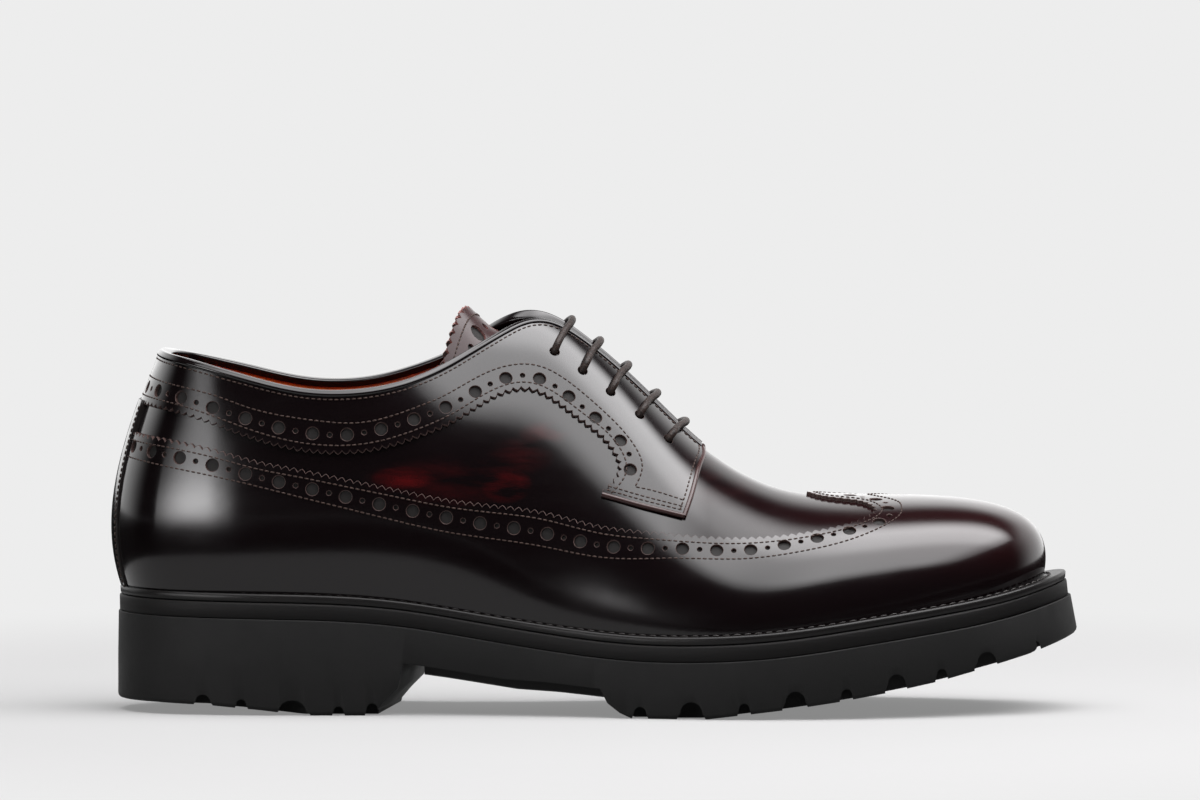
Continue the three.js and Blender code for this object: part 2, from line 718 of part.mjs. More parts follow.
// Rubber sole and heel
const midsoleTop = (x) => seatCurve(x) - WELT_THICK;
const rubberTop = (x) => midsoleTop(x) - MIDSOLE_THICK - GAP;
function outsole() {
  const edge = (extra) => (x) => soleEdge(x) + extra;
  let body = stack([
    { grow: edge(-LUG_ROUND * 0.7), z: treadCurve },
    { grow: edge(1.0), z: (x) => treadCurve(x) + LUG_ROUND },
    { grow: edge(0.8), z: rubberTop },
  ], 48);
  const under = WAIST.map((row) => [along(row.along), row.height * SEAT_HEIGHT]);
  body = body.subtract(crossPrism(under, -BALL_WIDTH, BALL_WIDTH, SKEW));
  const waistFrom = along(0.300);
  const waistTo = along(0.515);
  const waistCurve = steps(column(WAIST, 'along', SOLE_LENGTH), column(WAIST, 'height', SEAT_HEIGHT));
  body = body.add(stack([
    { grow: () => -10, z: (x) => waistCurve(x) - 4.2 },
    { grow: () => -6, z: (x) => waistCurve(x) + 2 },
  ], 10, waistFrom, waistTo));
  const cuts = [];
  const half = outline(soleEdge).half;
  for (const { along: share, width, high } of NOTCHES) {
    const x = along(share);
    const floor = treadCurve(x);
    const shoulders = width < 5 ? [] : [0.5, -0.5].map((share) => [x + width * share, floor + high * 0.55]);
    const profile = [
      [x - width * 0.5, floor - 6],
      [x + width * 0.5, floor - 6],
      ...shoulders.slice(0, 1),
      [x + width * 0.3, floor + high],
      [x - width * 0.3, floor + high],
      ...shoulders.slice(1),
    ];
    for (const side of SIDES) {
      const rim = half[side](x);
      const reach = EDGE_BLOCK + soleEdge(x) + CHANNEL * 0.4;
      const ends = [rim + side * 8, rim - side * reach].sort((a, b) => a - b);
      cuts.push(crossPrism(profile, ends[0], ends[1]));
    }
  }
  const ring = (from, to) => {
    const z0 = (x) => treadCurve(x) - 6;
    const z1 = (x) => treadCurve(x) + TREAD_DEPTH;
    const wide = () => -EDGE_BLOCK;
    const tight = () => -EDGE_BLOCK - CHANNEL;
    const big = stack([{ grow: wide, z: z0 }, { grow: wide, z: z1 }], 14, from, to);
    const core = [{ grow: tight, z: (x) => z0(x) - 3 }, { grow: tight, z: (x) => z1(x) + 3 }];
    return big.subtract(stack(core, 14, from + CHANNEL, to - CHANNEL));
  };
  cuts.push(ring(along(0.550), along(0.925)));
  cuts.push(ring(along(0.080), along(0.262)));
  const bars = [0.630, 0.687, 0.744, 0.801, 0.858];
  for (const share of bars) {
    const x = along(share);
    const z = treadCurve(x);
    const depth = TREAD_DEPTH - 0.7;
    const profile = [
      [x - CHANNEL / 2, z - 6],
      [x + CHANNEL / 2, z - 6],
      [x + CHANNEL / 2, z + depth],
      [x - CHANNEL / 2, z + depth],
    ];
    const inward = EDGE_BLOCK + soleEdge(x) + CHANNEL / 2;
    cuts.push(crossPrism(profile, half[-1](x) + inward, half[1](x) - inward));
  }
  for (const cut of cuts) body = body.subtract(cut);
  return meshFromSolid('outsole', body, LOOK.rubber);
}
shoe.add(outsole());

function midsole() {
  const body = stack([
    { grow: soleEdge, z: (x) => midsoleTop(x) - MIDSOLE_THICK },
    { grow: (x) => (weltEdge(x) + soleEdge(x)) / 2 + 0.4, z: (x) => midsoleTop(x) - GAP },
  ], 44);
  return meshFromSolid('midsole', body, LOOK.edge);
}
shoe.add(midsole());

function welt() {
  const full = stack([
    { grow: (x) => weltEdge(x) - 0.8, z: midsoleTop },
    { grow: (x) => weltEdge(x) + 0.1, z: (x) => midsoleTop(x) + 0.9 },
    { grow: (x) => weltEdge(x) - 0.4, z: seatCurve },
  ], 32);
  const hole = stack([
    { grow: () => WELT_CLEAR, z: (x) => midsoleTop(x) - 3 },
    { grow: () => WELT_CLEAR, z: (x) => seatCurve(x) + 3 },
  ], 32);
  return meshFromSolid('welt', full.subtract(hole), LOOK.edge);
}
shoe.add(welt());

function insole() {
  const tight = () => -WALL - 1.2;
  const body = stack([
    { grow: tight, z: (x) => midsoleTop(x) + GAP },
    { grow: tight, z: (x) => midsoleTop(x) + GAP + INSOLE_THICK },
  ], 36);
  return meshFromSolid('insole', body, LOOK.lining);
}
shoe.add(insole());

// The net of lines that upper and overlays share. Columns run up from the lower edge; rows follow the
// welt, the wing's edge, the tab's lower edge, the band's lower edge and the top line
const toplineCurve = {
  '-1': curveOf(TOPLINE, 'outer'),
  1: curveOf(TOPLINE, 'inner'),
};
const TAB_COLUMN = BAND_LOW[BAND_LOW.length - 1].along;
const LOBE = WING_LOW[WING_LOW.length - 1];
const LOBE_TOP = WING_HIGH[WING_HIGH.length - 1].up;
const PEAK = WING_HIGH[0].along;
const COLUMNS = [
  0, BACKSTAY_HALF, 0.05, 0.08, 0.11, HEEL_TURN, 0.175, 0.21, 0.245, 0.28, 0.315, 0.35, 0.385, 0.41,
  0.435, 0.462, 0.489, TAB_COLUMN, 0.545, 0.575, THROAT, 0.64, 0.675, PEAK, 0.72, 0.737,
  0.755, LOBE.along, TOE_TURN, 0.83, 0.86, 0.89, 0.92, 0.948, 0.975, 1,
];
const columnAt = (t) => COLUMNS.indexOf(t);
const ROWS = { welt: 1, wing: 5, tab: 6, middle: 7, band: 8, edge: 10, ridge: 12 };

const wingLow = curveOf(WING_LOW, 'up');
const wingHigh = curveOf(WING_HIGH, 'up');
const bandLow = curveOf(BAND_LOW, 'up');
const tabLow = (t) => TAB_BACK[0].up + (TAB_FRONT[0].up - TAB_BACK[0].up)
  * (t - TAB_BACK[0].along) / (TAB_FRONT[0].along - TAB_BACK[0].along);

function wingLine(t) {
  if (t <= LOBE.along) return wingLow(t);
  return Math.max(0.6, LOBE.up - (t - LOBE.along) * 1.5);
}
function edgeLine(side, t) {
  if (t <= THROAT) return toplineCurve[side](t);
  if (t <= PEAK) {
    const share = (t - THROAT) / (PEAK - THROAT);
    return toplineCurve[side](THROAT) * (1 - share) + share;
  }
  return t <= LOBE.along ? wingHigh(t) : Math.min(0.87, LOBE_TOP + (t - LOBE.along) * 1.5);
}
function bandLine(side, t) {
  if (t <= TAB_COLUMN) return bandLow(t);
  const low = wingLine(t);
  const spread = low + (edgeLine(side, t) - low) * 0.5;
  const share = ease((t - TAB_COLUMN) / 0.05);
  return Math.max(bandLow(TAB_COLUMN) * (1 - share) + spread * share, spread * share);
}
function tabLine(side, t) {
  const low = wingLine(t);
  const plainLine = low + (bandLine(side, t) - low) * 0.4;
  const into = ease((t - 0.435) / (0.505 - 0.435));
  const outOf = 1 - ease((t - TAB_FRONT[0].along) / 0.06);
  return plainLine + (tabLow(t) - plainLine) * into * outOf;
}

// Sideways lean of the columns at the tab's back and front edges
const LEAN = {
  [columnAt(TAB_COLUMN)]: { wing: -0.004, tab: TAB_BACK[0].along - TAB_COLUMN, middle: 0.009, band: 0, edge: 0 },
  [columnAt(THROAT)]: {
    wing: -0.01,
    tab: TAB_FRONT[0].along - THROAT,
    middle: TAB_FRONT[1].along - THROAT,
    band: TAB_FRONT[2].along - THROAT,
    edge: 0,
  },
};
function leanAt(i, row) {
  const read = (column) => {
    const entry = LEAN[column];
    if (!entry) return 0;
    const names = ['wing', 'tab', 'middle', 'band', 'edge'];
    const knots = names.map((name) => ROWS[name]);
    const values = names.map((name) => entry[name]);
    if (row <= ROWS.wing) return values[0] * row / ROWS.wing;
    return steps(knots, values)(row);
  };
  const back = columnAt(TAB_COLUMN);
  const front = columnAt(THROAT);
  if (i === back || i === front) return read(i);
  if (i > back && i < front) {
    const share = (COLUMNS[i] - COLUMNS[back]) / (COLUMNS[front] - COLUMNS[back]);
    return read(back) * (1 - share) + read(front) * share;
  }
  if (i === back - 1) return read(back) * 0.4;
  if (i === front + 1) return read(front) * 0.4;
  return 0;
}

function netPoint(side, i, j) {
  const t = COLUMNS[i] + leanAt(i, j);
  const lines = [
    [0, 0],
    [ROWS.welt, aboveWelt(side, t)],
    [ROWS.wing, wingLine(t)],
    [ROWS.tab, tabLine(side, t)],
    [ROWS.band, bandLine(side, t)],
    [ROWS.edge, edgeLine(side, t)],
    [ROWS.ridge, 1],
  ];
  return { side, t, v: steps(lines.map((l) => l[0]), lines.map((l) => l[1]))(j) };
}

// All cells of the net for which keep(column, row) holds
function netCells(keep) {
  return SIDES.flatMap((side) => lattice(ROWS.ridge, COLUMNS.length - 1, (i, j) => netPoint(side, i, j), keep));
}

// Height where the foot shape passes the welt's top
function aboveWelt(side, t) {
  return solve((v) => {
    const p = skin(side, t, v, GAP + OVERLAY);
    return p.z < seatCurve(p.x) + 2 * GAP;
  }, 0, 0.3);
}

const throatColumn = columnAt(THROAT);
const tabColumn = columnAt(TAB_COLUMN);
const peakColumn = columnAt(PEAK);
const lobeColumn = columnAt(LOBE.along);
const wingColumn = columnAt(BACKSTAY_HALF);

function upper() {
  const cells = netCells((i, j) => j < ROWS.edge || i >= throatColumn);
  const wall = solidOf(sheet(cells, -WALL, 0, onSkin));
  return meshFromSolid('upper', wall.subtract(eyeletHoles()), LOOK.leather);
}

function eyeletHoles() {
  const holes = EYELETS.flatMap((row) => SIDES.map((side) => {
    const v = side < 0 ? row.outer : row.inner;
    const ends = [-WALL - 1.5, OVERLAY + 1.5].map((off) => skin(side, row.along, v, off));
    return solidOf(rod(ends, EYELET / 2, 8));
  }));
  return holes.reduce((all, hole) => all.add(hole));
}
shoe.add(upper());

function wingCap() {
  const cells = netCells((i, j) => {
    if (i < wingColumn || j < ROWS.welt) return false;
    if (j < ROWS.wing) return true;
    return i >= lobeColumn || (i >= peakColumn && j >= ROWS.edge);
  });
  return solidOf(sheet(cells, GAP, GAP + OVERLAY, onSkin));
}
shoe.add(meshFromSolid('wing_cap', wingCap(), LOOK.leather));

function facingBand() {
  const cells = netCells((i, j) => {
    if (i >= throatColumn || j >= ROWS.edge) return false;
    return j >= ROWS.band || (i >= tabColumn && j >= ROWS.tab);
  });
  const wall = solidOf(sheet(cells, GAP, GAP + OVERLAY, onSkin));
  return wall.subtract(eyeletHoles());
}
shoe.add(meshFromSolid('facing_band', facingBand(), LOOK.leather));

function backstay() {
  const cells = SIDES.flatMap((side) => lattice(ROWS.band - ROWS.welt, 1, (i, j) => {
    const spot = netPoint(side, i, j + ROWS.welt);
    const last = j === ROWS.band - ROWS.welt;
    return { side, t: Math.max(0, spot.t - i * 0.0015), v: last ? spot.v - 0.006 : spot.v };
  }));
  const body = sheet(cells, GAP, GAP + OVERLAY, onSkin);
  return meshOf('backstay', body.vertices, body.triangles, LOOK.leather);
}
shoe.add(backstay());

// Tongue: follows the foot shape under the facings, and stands up as an arch at its free end
const tongueRidge = curveOf(TONGUE_RIDGE, 'top', CONE_RISE);
function tonguePoint(side, t, across) {
  const v = 1 - TONGUE_HALF * across;
  const inward = -WALL - TONGUE_CLEAR - 0.6 * across;
  const under = skin(side, t, v, inward);
  const share = ease((0.475 - t) / 0.06);
  if (share <= 0) return under;
  const top = new THREE.Vector3(alongX(t), section.shift(t), SEAT_HEIGHT + tongueRidge(t));
  const edge = skin(side, t, 1 - TONGUE_HALF, -WALL - TONGUE_CLEAR - 2);
  const wide = new THREE.Vector3(0, (edge.y - top.y) * 0.42, 0).add(top);
  const high = new THREE.Vector3(0, (top.y - edge.y) * 0.1, (top.z - edge.z) * 0.36).add(edge);
  const arch = new THREE.CubicBezierCurve3(top, wide, high, edge).getPoint(across);
  return under.lerp(arch, share);
}
function tongueNormal(side, t, across) {
  const e = 0.01;
  const low = Math.max(0, across - e);
  const high = Math.min(1, across + e);
  const acrossT = tonguePoint(side, t + 0.003, across).sub(tonguePoint(side, t - 0.003, across));
  const acrossW = tonguePoint(side, t, low).sub(tonguePoint(side, t, high));
  return acrossT.cross(acrossW).multiplyScalar(-side).normalize();
}

function tongue() {
  const list = [0, 0.06, 0.13, 0.21, 0.3, 0.4, 0.5, 0.62, 0.74, 0.87, 1];
  const rows = 5;
  const place = (side, t, across) => {
    const point = tonguePoint(side, t, across);
    const normal = tongueNormal(side, t, across);
    if (across === 0) normal.add(tongueNormal(-side, t, across)).normalize();
    return { point, normal };
  };
  const cells = SIDES.flatMap((side) => lattice(rows, list.length - 1, (i, j) => {
    const across = j / rows;
    const start = TONGUE_TIP - 0.036 * across;
    return { side, t: start + (TONGUE_ROOT - start) * list[i], v: across };
  }));
  const body = sheet(cells, -TONGUE_THICK, 0, place);
  return meshOf('tongue', body.vertices, body.triangles, LOOK.leather);
}
shoe.add(tongue());

// Lace: five straight bars over the gap between the facings
function laceBar(row, name) {
  const off = OVERLAY + 3 * GAP + LACE / 2;
  const lean = LACE_LEAN / (TOE_POLE_X - HEEL_POLE_X) * (TOE_TURN - HEEL_TURN);
  const half = (side) => {
    const hole = side < 0 ? row.outer : row.inner;
    const edge = toplineCurve[side](row.along + lean);
    return [0, 0.33, 0.67, 1].map((share) => {
      const v = hole + (edge - hole) * share;
      return skin(side, row.along + lean * share, v, off);
    });
  };
  const outerHalf = half(-1);
  const innerHalf = half(1).reverse();
  const middle = outerHalf[3].clone().add(innerHalf[0]).multiplyScalar(0.5);
  const body = rod([...outerHalf, middle, ...innerHalf], LACE / 2, 6);
  return meshOf(name, body.vertices, body.triangles, LOOK.lace);
}
EYELETS.forEach((row, i) => shoe.add(laceBar(row, `lace_bar_${i + 1}`)));

// The origin: middle of the shoe's plan, on the floor
const shoeBox = new THREE.Box3().setFromObject(shoe);
const centre = shoeBox.getCenter(new THREE.Vector3());
shoe.position.set(-centre.x, -centre.y, 0);
shoe.updateMatrixWorld(true);

export default shoe;
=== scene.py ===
# %% [markdown]
# # A full brogue derby, dressed for its photograph
#
# The frame below is the plain CAD shoe: sole, midsole, welt, one hollow upper, its overlays, the tongue and five
# lace bars. This lesson puts the looks on it. Every leather piece follows one foot shape, the form that a
# shoemaker calls the last, so the first step after loading is to write that shape down as a small function.

# %% Load the frame
import math

import bpy
import numpy as np
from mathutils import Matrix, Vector
from mathutils.geometry import delaunay_2d_cdt


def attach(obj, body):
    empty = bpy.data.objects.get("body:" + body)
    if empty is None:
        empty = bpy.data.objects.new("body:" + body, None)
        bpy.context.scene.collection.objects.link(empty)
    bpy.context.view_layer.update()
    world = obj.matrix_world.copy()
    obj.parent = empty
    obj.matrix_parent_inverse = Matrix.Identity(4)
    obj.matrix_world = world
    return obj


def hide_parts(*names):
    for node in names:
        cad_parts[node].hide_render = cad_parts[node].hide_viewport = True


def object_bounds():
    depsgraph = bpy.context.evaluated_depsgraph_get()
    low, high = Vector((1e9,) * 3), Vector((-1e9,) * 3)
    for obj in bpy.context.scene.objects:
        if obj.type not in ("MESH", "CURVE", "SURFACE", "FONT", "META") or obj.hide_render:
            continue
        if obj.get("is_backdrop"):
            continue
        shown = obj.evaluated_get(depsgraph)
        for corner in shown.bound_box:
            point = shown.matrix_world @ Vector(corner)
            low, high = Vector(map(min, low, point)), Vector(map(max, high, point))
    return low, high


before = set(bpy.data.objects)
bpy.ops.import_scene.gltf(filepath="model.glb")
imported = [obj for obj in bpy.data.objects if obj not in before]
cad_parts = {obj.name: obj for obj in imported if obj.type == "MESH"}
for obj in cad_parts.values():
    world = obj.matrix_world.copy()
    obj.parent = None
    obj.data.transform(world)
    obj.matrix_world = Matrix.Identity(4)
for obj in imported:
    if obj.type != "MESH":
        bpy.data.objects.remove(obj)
cad_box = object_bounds()
print("CAD nodes:", sorted(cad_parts))

# %% [markdown]
# ## The photograph's view
# A product photograph of a shoe is taken with a long lens, almost level with it. A long lens far away keeps the
# near and the far edge of the sole equally long, so the camera stands eight metres off, a little above the floor.

# %% Camera
MM = 0.001
VIEW_DISTANCE = 8.0
VIEW_RISE = 0.0593                      # sine of the camera's height angle
FRAME_WIDTH = 0.385                     # metres across the picture at the shoe
AIM = Vector((0.0014, 0.0, 0.0992))

camera_data = bpy.data.cameras.new("camera")
camera = bpy.data.objects.new("camera", camera_data)
bpy.context.scene.collection.objects.link(camera)
bpy.context.scene.camera = camera
camera_data.sensor_width = 36
camera_data.lens = camera_data.sensor_width * VIEW_DISTANCE / FRAME_WIDTH
camera_data.clip_end = 60
back = Vector((0, -math.sqrt(1 - VIEW_RISE ** 2), VIEW_RISE))
camera.location = AIM + back * VIEW_DISTANCE
camera.rotation_mode = "QUATERNION"
camera.rotation_quaternion = (-back).to_track_quat("-Z", "Y")
print("lens", round(camera_data.lens), "mm")

# %% [markdown]
# ## The foot shape
# The shape is a row of half sections from the heel's back to the toe's tip. Each half section is a Bezier curve
# from the lower edge, by the welt, up to the ridge. Two numbers name a spot on it: along, from 0 at the heel to
# 1 at the toe, and up, from 0 at the welt to 1 at the ridge. Side is -1 on the outer side and 1 on the inner.
# Writing it as a function means that every seam, hole and stitch can be placed by along and up.

# %% Curves through short tables
def spline(knots, values):
    """A smooth curve through the values at the knots."""
    x = np.array(knots, float)
    y = np.array(values, float)
    n = len(x)
    h = np.diff(x)
    matrix = np.zeros((n, n))
    right = np.zeros(n)
    matrix[0, 0] = matrix[-1, -1] = 1
    for i in range(1, n - 1):
        matrix[i, i - 1:i + 2] = h[i - 1], 2 * (h[i - 1] + h[i]), h[i]
        right[i] = 6 * ((y[i + 1] - y[i]) / h[i] - (y[i] - y[i - 1]) / h[i - 1])
    bend = np.linalg.solve(matrix, right)

    def read(t):
        t = np.asarray(t, float)
        i = np.clip(np.searchsorted(x, t) - 1, 0, n - 2)
        d = h[i]
        a = (x[i + 1] - t) / d
        b = (t - x[i]) / d
        curve = ((a ** 3 - a) * bend[i] + (b ** 3 - b) * bend[i + 1]) * d * d / 6
        return a * y[i] + b * y[i + 1] + curve

    return read


def ease(share):
    """0 to 1 without a kink at either end."""
    u = np.clip(share, 0, 1)
    return u * u * u * (u * (6 * u - 15) + 10)


def unit(vectors):
    """The vectors at length one."""
    return vectors / np.maximum(np.linalg.norm(vectors, axis=-1, keepdims=True), 1e-12)


def run_along(points):
    """How far each point of a line is from the first one, along the line."""
    return np.r_[0, np.cumsum(np.linalg.norm(np.diff(points, axis=0), axis=1))]


def read_line(line, run, marks):
    """Points of a line at the distances marks; run is the distance at each of its own points."""
    return np.stack([np.interp(marks, run, line[:, k]) for k in range(line.shape[1])], -1)


# %% Sizes of the shoe, in millimetres
SOLE_LENGTH = 308.0
BALL_WIDTH = 92.0
SEAT_HEIGHT = 40.0
CONE_RISE = 88.5
CONE_HALF = 24.0
HEEL_MARGIN = 4.0
FEATHER_LENGTH = 291.0
TOE_SIDE = 2.5
WALL = 2.2
GAP = 0.3
OVERLAY = 1.0
WELT_THICK = 2.9
MIDSOLE_THICK = 5.2
HEEL_TURN = 0.14
TOE_TURN = 0.80
HEEL_POLE_X = HEEL_MARGIN + FEATHER_LENGTH * 0.1031
TOE_POLE_X = HEEL_MARGIN + FEATHER_LENGTH * 0.8488
ORIGIN = np.array([153.3757, -2.2502, 0.0])   # of the row frame, in the shoe's own millimetres

# along, half width outwards, half width inwards: the upper's lower edge in shares of length and ball width
PLAN = [
    (0.030, 0.225, 0.225), (0.085, 0.305, 0.305), (0.160, 0.330, 0.325), (0.260, 0.332, 0.312),
    (0.360, 0.345, 0.285), (0.450, 0.385, 0.275), (0.540, 0.450, 0.315), (0.630, 0.510, 0.400),
    (0.710, 0.530, 0.462), (0.790, 0.500, 0.477), (0.870, 0.425, 0.430), (0.935, 0.320, 0.335),
    (0.980, 0.190, 0.215),
]
# along the sole, height of the welt's top in shares of the seat's height
SEAT = [
    (0, 1), (0.052, 0.988), (0.162, 0.972), (0.292, 0.918), (0.373, 0.822), (0.455, 0.725), (0.536, 0.662),
    (0.617, 0.660), (0.692, 0.702), (0.773, 0.788), (0.854, 0.882), (0.938, 1.006), (0.987, 1.112),
    (1.013, 1.165),
]
# along, top, shift, out, up, into, down: the half sections
SECTIONS = [
    (0.00, 0.983, 0.000, 0.103, 0.27, 1.125, 0.47),
    (0.07, 0.983, 0.000, 0.096, 0.26, 1.10, 0.46),
    (0.14, 0.983, 0.000, 0.087, 0.25, 1.15, 0.45),
    (0.25, 0.983, 0.005, 0.087, 0.27, 1.15, 0.40),
    (0.36, 0.989, 0.022, 0.092, 0.30, 0.98, 0.29),
    (0.42, 1.000, 0.035, 0.082, 0.32, 0.74, 0.12),
    (0.455, 0.976, 0.043, 0.074, 0.33, 0.58, 0.035),
    (0.49, 0.893, 0.046, 0.065, 0.35, 0.50, 0),
    (0.545, 0.714, 0.046, 0.054, 0.38, 0.49, 0),
    (0.60, 0.515, 0.040, 0.043, 0.42, 0.50, 0),
    (0.645, 0.398, 0.033, 0.040, 0.44, 0.52, 0),
    (0.69, 0.333, 0.027, 0.038, 0.51, 0.575, 0),
    (0.745, 0.311, 0.027, 0.035, 0.60, 0.63, 0),
    (0.80, 0.307, TOE_SIDE / BALL_WIDTH, 0.035, 0.63, 0.67, 0),
    (0.90, 0.307, 0.027, 0.054, 0.71, 0.73, 0),
    (1.00, 0.307, 0.027, 0.076, 0.78, 0.80, 0),
]


def column(table, number, size=1.0):
    """One column of a table, times a size."""
    return [row[number] * size for row in table]


seat_curve = spline(column(SEAT, 0, SOLE_LENGTH), column(SEAT, 1, SEAT_HEIGHT))
section = [spline(column(SECTIONS, 0), column(SECTIONS, k)) for k in range(1, 7)]
print("welt at the heel", round(float(seat_curve(0)), 1), "mm, lowest", round(float(seat_curve(190)), 1), "mm")


# %% Plan of the lower edge
def plan_loop():
    """x and y of the lower edge as curves of q, 0 heel back, by the outer side, to 1; and q of the toe tip."""
    points = [(0, 0)] + [(a, -o) for a, o, i in PLAN] + [(1, TOE_SIDE / BALL_WIDTH)]
    points += [(a, i) for a, o, i in reversed(PLAN)]
    points = np.array(points) * [FEATHER_LENGTH, BALL_WIDTH] + [HEEL_MARGIN, 0]
    count = len(points)
    wrap = 5
    ring = np.vstack([points[-wrap:], points, points[:wrap + 1]])
    run = run_along(ring)
    run = (run - run[wrap]) / (run[wrap + count] - run[wrap])
    return spline(run, ring[:, 0]), spline(run, ring[:, 1]), run[wrap + len(PLAN) + 1]


plan_x, plan_y, plan_tip = plan_loop()


def along_x(t):
    """x of the ridge at a share t, between the heel's and the toe's turn."""
    return HEEL_POLE_X + (TOE_POLE_X - HEEL_POLE_X) * (t - HEEL_TURN) / (TOE_TURN - HEEL_TURN)


def feather_points(side, t):
    """Plan points of the lower edge at the shares t."""
    start = 0.0 if side < 0 else 1.0
    span = plan_tip - start
    low = np.where(t < HEEL_TURN, 0.0, np.where(t > TOE_TURN, 0.6, 0.02))
    high = np.where(t < HEEL_TURN, 0.4, np.where(t > TOE_TURN, 1.0, 0.98))
    heel_angle = t / HEEL_TURN * np.pi / 2
    toe_angle = (1 - t) / (1 - TOE_TURN) * np.pi / 2
    for _ in range(44):
        middle = (low + high) / 2
        x = plan_x(start + span * middle)
        y = plan_y(start + span * middle)
        before = np.where(
            t < HEEL_TURN, np.arctan2(side * y, HEEL_POLE_X - x) < heel_angle,
            np.where(t > TOE_TURN, np.arctan2(side * (y - TOE_SIDE), x - TOE_POLE_X) > toe_angle, x < along_x(t)))
        low = np.where(before, middle, low)
        high = np.where(before, high, middle)
    q = start + span * (low + high) / 2
    return np.stack([plan_x(q), plan_y(q)], -1)


STATIONS = np.linspace(0, 1, 4001)
feather = {side: feather_points(side, STATIONS) for side in (-1, 1)}
for end in (0, -1):
    shared = (feather[-1][end] + feather[1][end]) / 2
    feather[-1][end] = feather[1][end] = shared
print("ball girth in plan", round(float(feather[1][:, 1].max() - feather[-1][:, 1].min()), 1), "mm")


# %% Points and directions on the foot shape
def cone_half(t):
    """Half width of the ridge, which is a flat top over the ankle and a line over the toes."""
    start = HEEL_MARGIN + FEATHER_LENGTH * 0.192
    finish = HEEL_MARGIN + FEATHER_LENGTH * 0.495
    heel = CONE_HALF * (0.583 + 0.417 * ease(t / HEEL_TURN))
    return np.where(t < HEEL_TURN, heel, CONE_HALF * (1 - ease((along_x(t) - start) / (finish - start))))


def skin_raw(side, t, v):
    """Points of the foot shape at along t and up v, in the shoe's own millimetres."""
    t, v = np.broadcast_arrays(np.asarray(t, float), np.asarray(v, float))
    fx = np.interp(t, STATIONS, feather[side][:, 0])
    fy = np.interp(t, STATIONS, feather[side][:, 1])
    angle = np.minimum(t / HEEL_TURN, 1) * np.pi / 2
    capped = np.minimum(t, TOE_TURN)
    half = cone_half(t)
    top, shift = section[0](capped), section[1](capped)
    out, up, into, down = (section[k](t) for k in (2, 3, 4, 5))
    rx = np.where(t < HEEL_TURN, HEEL_POLE_X - half * np.cos(angle), along_x(t))
    ry = np.where(t < HEEL_TURN, side * half * np.sin(angle), shift * BALL_WIDTH + side * half)
    rx = np.where(t >= TOE_TURN, TOE_POLE_X, rx)
    ry = np.where(t >= TOE_TURN, TOE_SIDE, ry)
    foot = seat_curve(fx) - WELT_THICK + GAP
    ridge = SEAT_HEIGHT + top * CONE_RISE
    height = ridge - foot
    width = np.hypot(rx - fx, ry - fy)
    dx, dy = (rx - fx) / width, (ry - fy) / width
    a = np.stack([fx, fy, foot], -1)
    b = np.stack([fx - dx * out * BALL_WIDTH, fy - dy * out * BALL_WIDTH, foot + height * up], -1)
    c = np.stack([rx - dx * into * width, ry - dy * into * width, ridge - height * down], -1)
    d = np.stack([rx, ry, ridge], -1)
    v = v[..., None]
    w = 1 - v
    return w ** 3 * a + 3 * w * w * v * b + 3 * w * v * v * c + v ** 3 * d


def normal_one_side(side, t, v):
    """Outward direction, from small steps along and up."""
    e = 0.004
    vc = np.minimum(v, 0.995)
    across_t = skin_raw(side, np.minimum(1, t + e), vc) - skin_raw(side, np.maximum(0, t - e), vc)
    across_v = skin_raw(side, t, np.minimum(1, vc + e)) - skin_raw(side, t, np.maximum(0, vc - e))
    return unit(np.cross(across_t, across_v) * -side)


def skin_normal(side, t, v):
    """Outward direction; on the line where both sides meet it is their mean."""
    t, v = np.broadcast_arrays(np.asarray(t, float), np.asarray(v, float))
    normal = normal_one_side(side, t, v)
    seam = (t <= 0) | (t >= 1) | ((v >= 1) & (cone_half(t) < 0.01))
    normal = np.where(seam[..., None], normal + normal_one_side(-side, t, v), normal)
    pole = (v >= 1) & (t >= TOE_TURN)
    return unit(np.where(pole[..., None], [0, 0, 1.0], normal))


def skin(side, t, v, off=0.0):
    """Points at a distance off outside the foot shape."""
    off = np.asarray(off, float)
    return skin_raw(side, t, v) + skin_normal(side, t, v) * off[..., None]


print("instep ridge at", np.round(skin_raw(-1, 0.49, 1.0), 1))


# %% [markdown]
# ## From numbers to Blender objects
# Each piece below is worked out as an array of points and faces, in millimetres. One helper turns such arrays
# into an object in metres, hides the CAD nodes that it stands for, and gives it a material. Glossy leather shows
# every uneven facet, so the helper also takes the true direction of the surface at each face corner, as a custom
# normal.

# %% Helper: arrays to a piece
def in_metres(points):
    """The shoe's own millimetres as the frame's metres."""
    return ((np.asarray(points, float) - ORIGIN) * MM).tolist()


def new_object(name, points, faces, materials=()):
    """An object with a mesh of its own, from points in metres."""
    mesh = bpy.data.meshes.new(name)
    mesh.from_pydata(points, [], [list(map(int, f)) for f in faces])
    for material in materials:
        mesh.materials.append(material)
    mesh.update()
    made = bpy.data.objects.new(name, mesh)
    bpy.context.scene.collection.objects.link(made)
    return made


def add_piece(name, points, faces, materials, nodes=(), face_material=None, normals=None):
    """A piece of the shoe from points in millimetres; nodes are the CAD nodes that it replaces."""
    piece = new_object(name, in_metres(points), faces, materials)
    mesh = piece.data
    if face_material is not None:
        mesh.polygons.foreach_set("material_index", np.asarray(face_material, np.int32))
    mesh.polygons.foreach_set("use_smooth", np.ones(len(mesh.polygons), bool))
    mesh.update()
    if normals is not None:
        mesh.normals_split_custom_set(np.asarray(normals, float).tolist())
    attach(piece, "root")
    if nodes:
        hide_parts(*nodes)
    return piece


